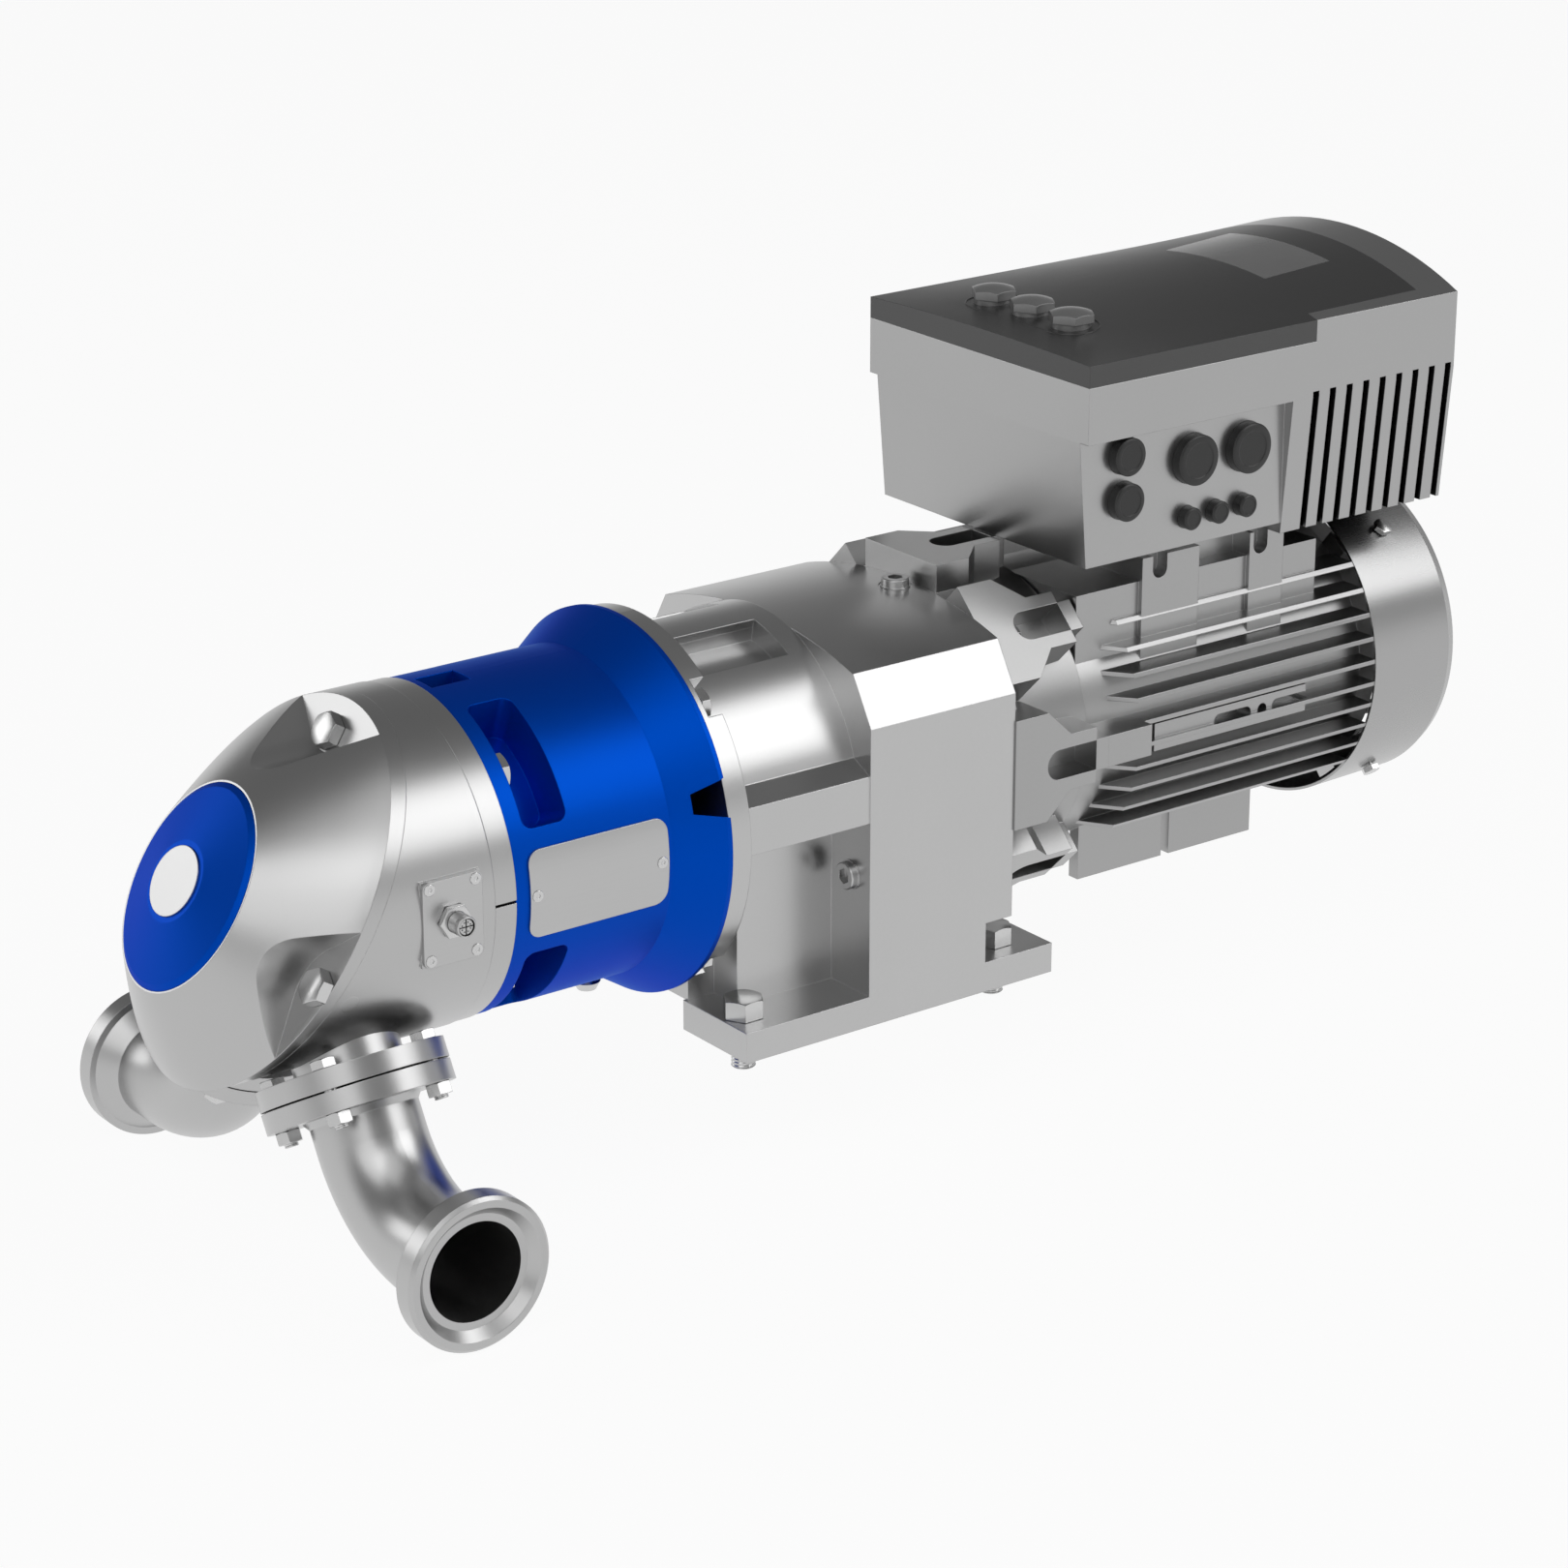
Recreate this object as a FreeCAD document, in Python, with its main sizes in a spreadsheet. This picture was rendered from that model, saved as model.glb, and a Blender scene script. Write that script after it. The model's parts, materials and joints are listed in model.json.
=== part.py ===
"""Wobble-plate pump with a flange gearbox, a finned motor and an inverter on top.

X runs along the shaft, from the pump head (low x) to the fan cover (high x).
Z is up, and the origin is the middle of the four foot bolts, under the feet.
The plug socket and the outlet are on the low y side.
"""
import FreeCAD, Part
import math
import os

import Sketcher
from FreeCAD import Rotation, Vector

NAME = "wobble_plate_pump"
doc = FreeCAD.newDocument(NAME)

SIZES = {
    # feet and shaft line
    "shaft_height": 128.0,
    "foot_bolt_pitch_x": 179.0,
    "foot_bolt_pitch_y": 167.0,
    "foot_bolt_edge": 14.0,
    "foot_length": 220.0,
    "foot_width": 60.0,
    "foot_thickness": 18.0,
    "foot_span": 211.4,
    "foot_bolt_radius": 7.0,
    "foot_bolt_grip": 6.4,
    "foot_bolt_flats": 21.0,
    "foot_bolt_head": 11.5,
    "foot_bolt_stud": 12.4,
    "ring_to_foot": 12.5,
    # lantern
    "lantern_length": 130.2,
    "lantern_radius": 94.7,
    "lantern_rim_radius": 110.9,
    "lantern_rim": 3.0,
    "lantern_flare": 28.5,
    "lantern_window_gap": 10.2,
    "lantern_window_length": 28.0,
    "lantern_window_angle": 48.0,
    "lantern_window_floor": 68.0,
    "lantern_window_place": 46.0,
    "lantern_window_corner": 6.0,
    "lantern_slot_length": 25.0,
    "lantern_slot_width": 18.0,
    "lantern_bore_depth": 48.0,
    "notch_depth": 17.5,
    "notch_angle": 17.0,
    "notch_width": 22.0,
    "lantern_bolt_circle": 81.0,
    "lantern_bolt_radius": 6.0,
    "lantern_bolt_flats": 18.0,
    "lantern_bolt_head": 7.5,
    "lantern_bolt_thread": 20.0,
    "drain_boss_setback": 22.0,
    "drain_boss_radius": 8.0,
    "drain_knob_end_radius": 5.6,
    "drain_boss_depth": 14.5,
    "drain_knob_height": 4.8,
    # clamp ring
    "clamp_length": 13.8,
    "clamp_radius": 95.3,
    "clamp_inner_radius": 71.0,
    "clamp_slit": 1.6,
    "clamp_chamfer": 0.6,
    # pump head
    "head_radius": 95.9,
    "chamber_setback": 66.0,
    "cover_setback": 19.9,
    "cover_tilt": 31.2,
    "cover_flange": 8.0,
    "cover_height": 43.3,
    "cover_top_radius": 59.5,
    "cover_top_drop": 11.7,
    "cover_bulge": 1.12,
    "cap_radius": 58.4,
    "cap_bevel_height": 2.2,
    "cap_bevel": 3.3,
    "cap_dome_lead": 3.0,
    "cap_dome": 7.0,
    "cap_disc_radius": 19.5,
    "cap_disc_thickness": 2.0,
    "cap_spigot_radius": 30.0,
    "cap_spigot_depth": 4.0,
    "top_bolt_reach": 92.0,
    "cover_bolt_circle": 89.0,
    "cover_bolt_spacing": 109.0,
    "cover_bolt_radius": 6.0,
    "cover_bolt_flats": 18.0,
    "cover_bolt_head": 7.5,
    "cover_bolt_thread": 19.0,
    "top_pocket_inner": 80.8,
    "side_pocket_inner": 70.0,
    "top_pocket_slope": 31.0,
    "side_pocket_slope": 32.0,
    "pocket_corner": 30.0,
    # chamber and wobble plate
    "chamber_radius": 65.0,
    "wobble_tilt": 12.0,
    "plate_thickness": 9.0,
    "plate_gap": 0.4,
    "hub_radius": 30.0,
    "hub_gap": 0.3,
    "hub_neck_radius": 15.0,
    "hub_neck_length": 52.0,
    "hub_bore_radius": 12.5,
    "hub_bore_depth": 17.0,
    "barrier_thickness": 6.0,
    "barrier_gap": 3.2,
    "seat_outer_radius": 38.0,
    "seat_start": 10.8,
    "seat_length": 9.2,
    "crank_pin_radius": 9.0,
    "crank_pin_front": 15.0,
    "crank_bearing_length": 22.0,
    "running_gap": 0.05,
    "crank_flange_radius": 27.0,
    "crank_flange_length": 10.0,
    "crank_room_radius": 34.0,
    # pump shaft and its bearings
    "pump_shaft_radius": 17.5,
    "bearing_outer_radius": 36.0,
    "bearing_width": 17.0,
    "carrier_radius": 46.0,
    "carrier_length": 64.0,
    "carrier_lip": 3.0,
    "seal_radius": 26.0,
    "seal_width": 8.0,
    "coupling_radius": 33.0,
    "coupling_hub_length": 24.0,
    "coupling_jaw_length": 13.0,
    "coupling_jaw_angle": 44.0,
    "coupling_jaw_pitch": 120.0,
    "coupling_gap": 2.0,
    "coupling_setback": 14.0,
    # ports
    "port_setback": 66.0,
    "port_angle": 30.0,
    "pipe_radius": 30.15,
    "pipe_bore_radius": 28.15,
    "port_flange_radius": 52.3,
    "port_flange_seat": 102.2,
    "port_flange_thickness": 11.3,
    "gasket_thickness": 1.0,
    "port_bolt_circle": 43.5,
    "port_bolt_radius": 4.0,
    "port_bolt_flats": 13.0,
    "port_bolt_head": 5.3,
    "port_nut_height": 6.8,
    "port_bolt_tip": 2.0,
    "port_bolt_count": 4.0,
    "elbow_straight": 37.9,
    "elbow_drop": 163.2,
    "elbow_reach": 176.0,
    "elbow_weld_radius": 33.0,
    "elbow_weld_length": 4.0,
    "coupling_rim_radius": 43.5,
    "coupling_rim_width": 13.3,
    "coupling_rim_chamfer": 2.0,
    "coupling_groove_radius": 37.5,
    "coupling_liner_radius": 32.5,
    "coupling_liner_setback": 5.4,
    "coupling_neck_length": 9.0,
    # sensor plate
    "sensor_plate_length": 37.0,
    "sensor_plate_height": 48.0,
    "sensor_plate_thickness": 2.5,
    "sensor_plate_setback": 27.0,
    "sensor_corner": 4.0,
    "sensor_pad_face": 94.6,
    "sensor_pad_depth": 12.0,
    "sensor_screw_pitch_x": 28.5,
    "sensor_screw_pitch_z": 40.0,
    "small_screw_radius": 2.0,
    "small_screw_head": 3.4,
    "small_screw_length": 7.0,
    "small_screw_head_height": 0.6,
    "socket_radius": 6.0,
    "socket_length": 13.0,
    "socket_mouth_radius": 4.8,
    "socket_mouth_depth": 7.8,
    "socket_depth": 12.0,
    "socket_pin_radius": 0.6,
    "socket_pin_length": 5.2,
    "socket_pin_circle": 2.4,
    "socket_pin_place": 45.0,
    "socket_nut_flats": 17.0,
    "socket_nut_height": 3.5,
    # nameplate
    "nameplate_length": 90.0,
    "nameplate_height": 50.0,
    "nameplate_thickness": 1.2,
    "nameplate_setback": 31.5,
    "nameplate_screw_pitch": 81.0,
    "nameplate_corner": 8.0,
    # ring and gearbox housing
    "ring_length": 14.0,
    "ring_radius": 108.7,
    "ring_bolt_circle": 100.5,
    "ring_bolt_radius": 5.0,
    "ring_bolt_flats": 16.0,
    "ring_bolt_head": 6.4,
    "ring_bolt_place": 47.0,
    "ring_bolt_thread": 6.5,
    "ring_cutout_width": 24.0,
    "ring_cutout_inset": 11.2,
    "ring_spigot_radius": 66.0,
    "ring_spigot_length": 4.0,
    "gearbox_setback": 98.3,
    "gearbox_length": 103.4,
    "gearbox_width": 211.4,
    "gearbox_shoulder": 49.7,
    "gearbox_chamfer_y": 88.9,
    "gearbox_chamfer_z": 78.3,
    "gearbox_top": 91.5,
    "gearbox_dome_radius": 300.0,
    "gearbox_wall": 12.0,
    "gearbox_rear_wall": 20.0,
    "sump_floor": 10.0,
    "gearbox_heel_depth": 44.0,
    "pinion_hole_radius": 24.0,
    "gearbox_heel_length": 19.0,
    "gearbox_heel_height": 24.4,
    "neck_radius": 95.0,
    "neck_beam_half": 105.0,
    "neck_beam_low": 5.6,
    "neck_beam_high": 22.2,
    "neck_beam_top": 30.0,
    "neck_web_half": 70.4,
    "neck_web_setback": 32.0,
    "neck_rib_half": 14.0,
    "neck_rib_top": 90.0,
    "neck_groove_floor": 82.0,
    "neck_groove_length": 70.0,
    "neck_groove_start": 59.0,
    "neck_groove_angle": 21.0,
    "arch_half": 48.0,
    "vent_setback": 190.0,
    "vent_offset": 10.0,
    "vent_radius": 8.0,
    "vent_collar_radius": 8.7,
    "vent_collar_height": 0.8,
    "vent_height": 5.6,
    "plug_hex_flats": 7.0,
    "drain_offset": 88.0,
    "drain_drop": 41.0,
    "drain_radius": 8.0,
    "drain_collar_radius": 8.7,
    "drain_collar_height": 0.8,
    "drain_height": 5.0,
    # gears and gearbox shafts
    "gear_module": 2.5,
    "gear_pressure_angle": 20.0,
    "gear_root_share": 1.25,
    "gear_teeth": 27.0,
    "pinion_teeth": 15.0,
    "gear_backlash": 0.16,
    "output_gear_setback": 114.0,
    "input_gear_setback": 152.0,
    "gear_width": 24.0,
    "output_shaft_radius": 15.0,
    "intermediate_radius": 10.0,
    "gear_bearing_outer": 31.0,
    "gear_bearing_width": 12.0,
    "small_bearing_outer": 20.0,
    "output_seal_radius": 28.0,
    # motor
    "adapter_length": 69.5,
    "adapter_front_radius": 96.0,
    "adapter_rear_radius": 88.0,
    "adapter_core_radius": 74.0,
    "adapter_bore_radius": 66.0,
    "adapter_wall": 14.0,
    "lug_count": 8.0,
    "lug_reach": 107.0,
    "lug_width": 66.0,
    "lug_tail_width": 34.0,
    "lug_front_length": 24.0,
    "lug_shoulder": 41.0,
    "lug_length": 60.3,
    "lug_tongue_width": 19.0,
    "lug_slot_width": 18.0,
    "lug_slot_start": 24.0,
    "adapter_bolt_circle": 96.5,
    "adapter_bolt_place": 45.0,
    "adapter_spot_radius": 8.2,
    "adapter_spot_depth": 9.0,
    "adapter_bolt_radius": 4.0,
    "adapter_bolt_flats": 13.0,
    "adapter_bolt_head": 5.3,
    "adapter_bolt_thread": 12.0,
    "motor_length": 218.5,
    "motor_body_radius": 86.0,
    "motor_bore_radius": 80.0,
    "fin_tip_radius": 100.0,
    "fin_thickness": 2.6,
    "fin_pitch": 14.0,
    "fin_front_gap": 18.0,
    "fin_highest": 64.0,
    "fin_count": 10.0,
    "fin_point": 12.0,
    "motor_pad_face": 97.0,
    "motor_pad_height": 17.0,
    "motor_pad_drop": -4.0,
    "motor_pad_length": 120.0,
    "motor_pad_setback": 44.0,
    "pad_slot_start": 362.0,
    "pad_slot_pitch": 46.0,
    "pad_hole_station": 400.0,
    "pad_slot_length": 29.0,
    "pad_slot_width": 8.0,
    "pad_slot_corner": 3.9,
    "pad_hole_radius": 3.5,
    "motor_deck_half": 74.0,
    "motor_deck_top": 85.0,
    "motor_deck_start": 272.5,
    "motor_deck_length": 188.0,
    "motor_saddle_half": 62.0,
    "motor_post_half": 77.0,
    "motor_post_top": 99.5,
    "first_post": 320.0,
    "first_post_length": 44.0,
    "first_notch": 333.5,
    "second_post": 404.0,
    "second_post_length": 27.0,
    "second_notch": 412.5,
    "notch_floor": 85.5,
    "post_notch_radius": 5.5,
    "post_notch_depth": 9.0,
    "motor_lug_length": 33.0,
    "foot_pad_half": 46.0,
    "foot_pad_drop": 104.0,
    "foot_pad_thickness": 8.0,
    "foot_pad_length": 66.0,
    "foot_pad_gap": 6.0,
    "foot_pad_setback": 28.0,
    "motor_shaft_radius": 14.0,
    "motor_bearing_outer": 31.0,
    "motor_bearing_width": 14.0,
    "rotor_radius": 49.6,
    "air_gap": 0.4,
    "core_length": 140.0,
    "core_setback": 36.0,
    "winding_length": 18.0,
    "winding_inner": 54.0,
    "winding_outer": 76.0,
    "fan_setback": 18.0,
    "fan_width": 30.0,
    "fan_radius": 78.0,
    "fan_hub_radius": 24.0,
    "fan_disc": 3.0,
    "fan_blades": 7.0,
    "fan_blade_thickness": 2.5,
    "fan_cover_length": 71.8,
    "fan_cover_radius": 100.5,
    "fan_cover_rear_radius": 98.9,
    "fan_cover_wall": 1.7,
    "shield_boss_width": 16.0,
    "shield_boss_floor": 80.5,
    "fan_cover_edge": 9.0,
    "fan_cover_roll": 2.7,
    "grille_spoke_angle": 45.0,
    "grille_radius": 72.0,
    "grille_rings": 4.0,
    "grille_gap": 6.0,
    "cover_screw_setback": 34.0,
    "cover_screw_angle": 50.0,
    "cover_screw_radius": 3.0,
    "cover_screw_flats": 10.0,
    "cover_screw_head": 4.0,
    # inverter
    "inverter_setback": 256.4,
    "inverter_length": 286.4,
    "inverter_half": 99.7,
    "inverter_low_half": 92.8,
    "inverter_bottom": 108.0,
    "inverter_skirt": 101.5,
    "inverter_seam": 216.6,
    "inverter_side_top": 229.3,
    "inverter_peak": 252.0,
    "inverter_lean": 7.0,
    "crown_front_rise": 2.0,
    "inverter_wall": 4.0,
    "inverter_floor": 6.0,
    "gland_face": 92.6,
    "gland_recess_length": 156.5,
    "gland_recess_top": 183.3,
    "slot_first": 172.0,
    "slot_pitch": 13.4,
    "slot_width": 5.0,
    "slot_count": 9.0,
    "slot_top": 186.5,
    "slot_depth": 12.0,
    "lid_length": 260.0,
    "lid_step": 173.0,
    "lid_inset": 8.0,
    "cap_row_setback": 40.0,
    "cap_row_pitch": 35.0,
    "cap_row_shift": -1.0,
    "cap_row_skew": 0.0,
    "lid_cap_radius": 11.5,
    "lid_cap_height": 4.5,
    "lid_cap_flats": 24.0,
    "lid_cap_head": 7.5,
    "lid_cap_dome": 2.2,
    "lid_cap_base": 232.0,
    "lid_cap_stem": 6.0,
    "window_length": 52.0,
    "window_width": 88.0,
    "window_setback": 182.0,
    "window_thickness": 1.2,
    "large_plug_radius": 15.0,
    "medium_plug_radius": 11.2,
    "small_plug_radius": 6.7,
    "plug_height": 6.8,
    "gland_first": 289.4,
    "gland_row_high": 170.9,
    "gland_row_low": 144.1,
    "gland_large": 341.4,
    "gland_large_pitch": 41.2,
    "gland_row_large": 160.0,
    "gland_small": 338.4,
    "gland_small_pitch": 21.5,
    "gland_row_small": 125.4,
    "block_length": 92.0,
}


class Dim:
    """A size that keeps its number and its formula on the sheet together."""

    def __init__(self, value, text):
        self.value = float(value)
        self.text = text

    def __add__(self, other):
        other = dim(other)
        return Dim(self.value + other.value, f"({self.text} + {other.text})")

    def __sub__(self, other):
        other = dim(other)
        return Dim(self.value - other.value, f"({self.text} - {other.text})")

    def __mul__(self, other):
        other = dim(other)
        return Dim(self.value * other.value, f"({self.text} * {other.text})")

    def __truediv__(self, other):
        other = dim(other)
        return Dim(self.value / other.value, f"({self.text} / {other.text})")

    def __neg__(self):
        return Dim(-self.value, f"(0 - {self.text})")

    def __radd__(self, other):
        return dim(other) + self

    def __rsub__(self, other):
        return dim(other) - self

    def __rmul__(self, other):
        return dim(other) * self

    def __rtruediv__(self, other):
        return dim(other) / self

    def __float__(self):
        return self.value


def dim(size):
    """Any number as a Dim."""
    if isinstance(size, Dim):
        return size
    return Dim(size, f"{float(size)}")


def cosine(angle):
    angle = dim(angle)
    return Dim(math.cos(math.radians(angle.value)), f"cos({angle.text})")


def sine(angle):
    angle = dim(angle)
    return Dim(math.sin(math.radians(angle.value)), f"sin({angle.text})")


def root(square):
    square = dim(square)
    return Dim(math.sqrt(square.value), f"sqrt({square.text})")


sheet = doc.addObject("Spreadsheet::Sheet", "Sizes")


class Sheet:
    """The driving sizes as attributes, each a Dim that reads its cell."""


size = Sheet()
for row, (alias, value) in enumerate(SIZES.items(), start=1):
    sheet.set(f"A{row}", alias.replace("_", " "))
    sheet.set(f"B{row}", str(value))
    sheet.setAlias(f"B{row}", alias)
    setattr(size, alias, Dim(value, f"Sizes.{alias}"))
doc.recompute()

TURNS = {
    "x": Rotation(Vector(0, 1, 0), 90),
    "-x": Rotation(Vector(0, 1, 0), -90),
    "y": Rotation(Vector(1, 0, 0), -90),
    "-y": Rotation(Vector(1, 0, 0), 90),
    "z": Rotation(),
    "-z": Rotation(Vector(1, 0, 0), 180),
}

nodes = []


def bind(thing, **sizes):
    """Tie properties of a feature to sizes."""
    for name, value in sizes.items():
        thing.setExpression(name, dim(value).text)


def place(thing, at, turn=None):
    """Put a feature at a point, turned by a fixed rotation."""
    at = [dim(part) for part in at]
    where = Vector(*[part.value for part in at])
    thing.Placement = FreeCAD.Placement(where, turn or Rotation())
    for axis, part in zip("xyz", at):
        thing.setExpression(f"Placement.Base.{axis}", part.text)
    return thing


def tilt(thing, at, axis, angle):
    """Put a feature at a point, turned about an axis by an angle of the sheet."""
    angle = dim(angle)
    place(thing, at, Rotation(axis, angle.value))
    thing.setExpression("Placement.Rotation.Angle", angle.text)
    return thing


def box(name, sizes, at):
    """A block with its lowest corner at a point."""
    block = doc.addObject("Part::Box", name)
    bind(block, Length=sizes[0], Width=sizes[1], Height=sizes[2])
    return place(block, at)


def rod(name, radius, length, at, along="x", sweep=None):
    """A cylinder from a point along an axis, or a sector of one."""
    cylinder = doc.addObject("Part::Cylinder", name)
    bind(cylinder, Radius=radius, Height=length)
    if sweep is not None:
        bind(cylinder, Angle=sweep)
    return place(cylinder, at, TURNS[along])


def cone(name, near, far, length, at, along="x"):
    body = doc.addObject("Part::Cone", name)
    bind(body, Radius1=near, Radius2=far, Height=length)
    return place(body, at, TURNS[along])


def ball(name, radius, at):
    sphere = doc.addObject("Part::Sphere", name)
    bind(sphere, Radius=radius)
    return place(sphere, at)


def hexagon(name, flats, length, at, along="x"):
    """A six-sided prism by its width across flats."""
    prism = doc.addObject("Part::Prism", name)
    prism.Polygon = 6
    bind(prism, Circumradius=flats / root(3), Height=length)
    return place(prism, at, TURNS[along])


def fuse(name, *parts):
    joined = doc.addObject("Part::MultiFuse", name)
    joined.Shapes = list(parts)
    joined.Refine = True
    return joined


def cut(name, base, *tools):
    """A base with tools taken away."""
    result = doc.addObject("Part::Cut", name)
    result.Base = base
    result.Tool = tools[0] if len(tools) == 1 else fuse(f"{name}_tools", *tools)
    return result


def common(name, *parts):
    shared = doc.addObject("Part::MultiCommon", name)
    shared.Shapes = list(parts)
    return shared


# An edge counts as across X below this share of its run, and as lined up below this angle.
HALF = 0.5
SMALL = 1e-6


def rounded(name, thing, radius, along, choose=None):
    """Fillets on straight edges: those along a direction, or with none those across X."""
    doc.recompute()
    picked = []
    for index, edge in enumerate(thing.Shape.Edges, start=1):
        if edge.Curve.TypeId != "Part::GeomLine":
            continue
        run = (edge.Vertexes[-1].Point - edge.Vertexes[0].Point).normalize()
        lined_up = abs(run.x) < HALF if along is None else run.cross(Vector(*along)).Length < SMALL
        if lined_up and (choose is None or choose(edge.CenterOfMass)):
            picked.append((index, float(radius), float(radius)))
    fillet = doc.addObject("Part::Fillet", name)
    fillet.Base = thing
    fillet.Edges = picked
    return fillet


def group(name, parts):
    """Separate solids that share a node."""
    gathered = doc.addObject("Part::Compound", name)
    gathered.Links = list(parts)
    return gathered


def node(label, thing):
    """Name a finished sub-part. Its label names its file."""
    thing.Label = label
    nodes.append(thing)
    return thing


def outline(sketch, points):
    """A closed outline of straight runs, every corner tied to its sizes."""
    corners = [(dim(across), dim(up)) for across, up in points]
    vectors = [Vector(across.value, up.value, 0) for across, up in corners]
    for here, there in zip(vectors, vectors[1:] + vectors[:1]):
        sketch.addGeometry(Part.LineSegment(here, there), False)
    count = len(corners)
    for index in range(count):
        sketch.addConstraint(Sketcher.Constraint("Coincident", index, 2, (index + 1) % count, 1))
    for index, (across, up) in enumerate(corners):
        fix_corner(sketch, index, "DistanceX", -2, across)
        fix_corner(sketch, index, "DistanceY", -1, up)


def fix_corner(sketch, index, kind, axis, distance):
    """Hold one corner of an outline on an axis of the sketch or at its distance from it."""
    if distance.text in ("0.0", "-0.0"):
        sketch.addConstraint(Sketcher.Constraint("PointOnObject", index, 1, axis))
        return
    held = Sketcher.Constraint(kind, -1, 1, index, 1, distance.value)
    number = sketch.addConstraint(held)
    sketch.setExpression(f"Constraints[{number}]", distance.text)


def sketched_body(name, role, points):
    """A body with one outline on one of its own origin planes."""
    body = doc.addObject("PartDesign::Body", name)
    sketch = body.newObject("Sketcher::SketchObject", f"{name}_outline")
    plane = next(p for p in body.Origin.OriginFeatures if p.Role == role)
    sketch.AttachmentSupport = [(plane, "")]
    sketch.MapMode = "FlatFace"
    outline(sketch, points)
    return body, sketch


def turned(name, points, at, turn=None):
    """A turned body: an outline of (x, radius) corners, revolved about X."""
    body, sketch = sketched_body(name, "XZ_Plane", points)
    spin = body.newObject("PartDesign::Revolution", f"{name}_turn")
    spin.Profile = sketch
    spin.ReferenceAxis = (sketch, ["H_Axis"])
    spin.Angle = 360
    return place(body, at, turn)


def padded(name, role, points, length, at, turn=None):
    """An outline on one origin plane, padded along that plane's normal."""
    body, sketch = sketched_body(name, role, points)
    pad = body.newObject("PartDesign::Pad", f"{name}_pad")
    pad.Profile = sketch
    bind(pad, Length=length)
    return place(body, at, turn)


def bolt(name, flats, head, radius, length, at, along):
    """A hex bolt: at is the seat of its head, and the head points along the axis."""
    back = {"x": "-x", "-x": "x", "y": "-y", "-y": "y", "z": "-z", "-z": "z"}[along]
    cap = hexagon(f"{name}_head", flats, head, at, along)
    shank = rod(f"{name}_shank", radius, length, at, back)
    return fuse(name, cap, shank)


def ring(name, outer, inner, length, at, along="x"):
    """A plain ring from a point along an axis."""
    whole = rod(f"{name}_disc", outer, length, at, along)
    hole = rod(f"{name}_hole", inner, length, at, along)
    return cut(name, whole, hole)


def around(radius, angle):
    """The y and z of a point about the shaft, its angle counted from low y upward."""
    across = -(radius * cosine(angle))
    return across, size.shaft_height + radius * sine(angle)


def count(alias):
    """A whole number of the sheet, as a number to loop over."""
    return int(round(float(getattr(size, alias))))


# Stations along the shaft, from the face between the lantern and the ring.
shaft_z = size.shaft_height
ring_x = -(size.foot_bolt_pitch_x / 2 + size.foot_bolt_edge + size.ring_to_foot)
lantern_x = ring_x - size.lantern_length
seam_x = lantern_x - size.clamp_length
chamber_x = seam_x - size.chamber_setback
cover_x = chamber_x - size.cover_setback
gearbox_x = ring_x + size.gearbox_setback
adapter_x = gearbox_x + size.gearbox_length
motor_x = adapter_x + size.adapter_length
fan_x = motor_x + size.motor_length
inverter_x = ring_x + size.inverter_setback
# How far a cut starts before the face that it opens.
CLEAR = 1.0


def mirrored(name, thing, normal):
    """A copy on the other side of the shaft, across y or across z."""
    copy = doc.addObject("Part::Mirroring", name)
    copy.Source = thing
    copy.Normal = Vector(0, 1, 0) if normal == "y" else Vector(0, 0, 1)
    copy.setExpression("Base.z", shaft_z.text)
    return copy


def sector(name, inner, outer, top, sweep, at, length):
    """A piece of a ring about the shaft, swept down from its top angle above low y."""
    whole = rod(f"{name}_outer", outer, length, (0, 0, 0), "x", sweep)
    hole = rod(f"{name}_inner", inner, length, (0, 0, 0), "x", sweep)
    piece = cut(name, whole, hole)
    return tilt(piece, at, Vector(-1, 0, 0), 90 + top)


def four_places(angle):
    """One angle and its mirror images across y and across z."""
    angle = dim(angle)
    return [angle, -angle, 180 - angle, angle - 180]


def on_cover(thing):
    """Stand a feature of the tilted cover frame on the cover's seat."""
    return tilt(thing, (cover_x, 0, shaft_z), Vector(0, -1, 0), 90 - size.cover_tilt)


def on_crank(thing):
    """Lay a feature of the wobbling frame along the crank's axis."""
    return tilt(thing, (chamber_x, 0, shaft_z), Vector(0, 1, 0), 90 - size.wobble_tilt)


def on_port(thing):
    """Point a feature of the port frame down and out to low y."""
    at = (seam_x - size.port_setback, 0, shaft_z)
    return tilt(thing, at, Vector(1, 0, 0), 180 - size.port_angle)


# Pump chamber: the room that the wobbling plate sweeps, cut from casing and cover.
tilt_rise = sine(size.wobble_tilt) / cosine(size.wobble_tilt)
lens_middle = size.plate_thickness / 2 / cosine(size.wobble_tilt) + size.plate_gap
lens_edge = lens_middle + size.chamber_radius * tilt_rise


def chamber_room():
    lens = turned("chamber_lens", [
        (-lens_middle, 0),
        (lens_middle, 0),
        (lens_edge, size.chamber_radius),
        (-lens_edge, size.chamber_radius),
    ], (chamber_x, 0, shaft_z))
    sweep = common("chamber_sweep", lens, ball("chamber_ball", size.chamber_radius,
                                               (chamber_x, 0, shaft_z)))
    hub_room = ball("hub_room", size.hub_radius + size.hub_gap, (chamber_x, 0, shaft_z))
    return sweep, hub_room


chamber_sweep, hub_room = chamber_room()


def lantern_bolt_holes(name, start, length, radius):
    """Rods at the four lantern bolts, from a station along the shaft."""
    rods = []
    for index, angle in enumerate(four_places(size.lantern_window_place)):
        y, z = around(size.lantern_bolt_circle, angle)
        rods.append(rod(f"{name}_{index}", radius, length, (start, y, z)))
    return rods


sensor_x = seam_x - size.sensor_plate_setback
sensor_screws = [
    (sensor_x + size.sensor_screw_pitch_x * side / 2, shaft_z + size.sensor_screw_pitch_z * rise / 2)
    for side in (-1, 1) for rise in (-1, 1)
]


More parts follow.
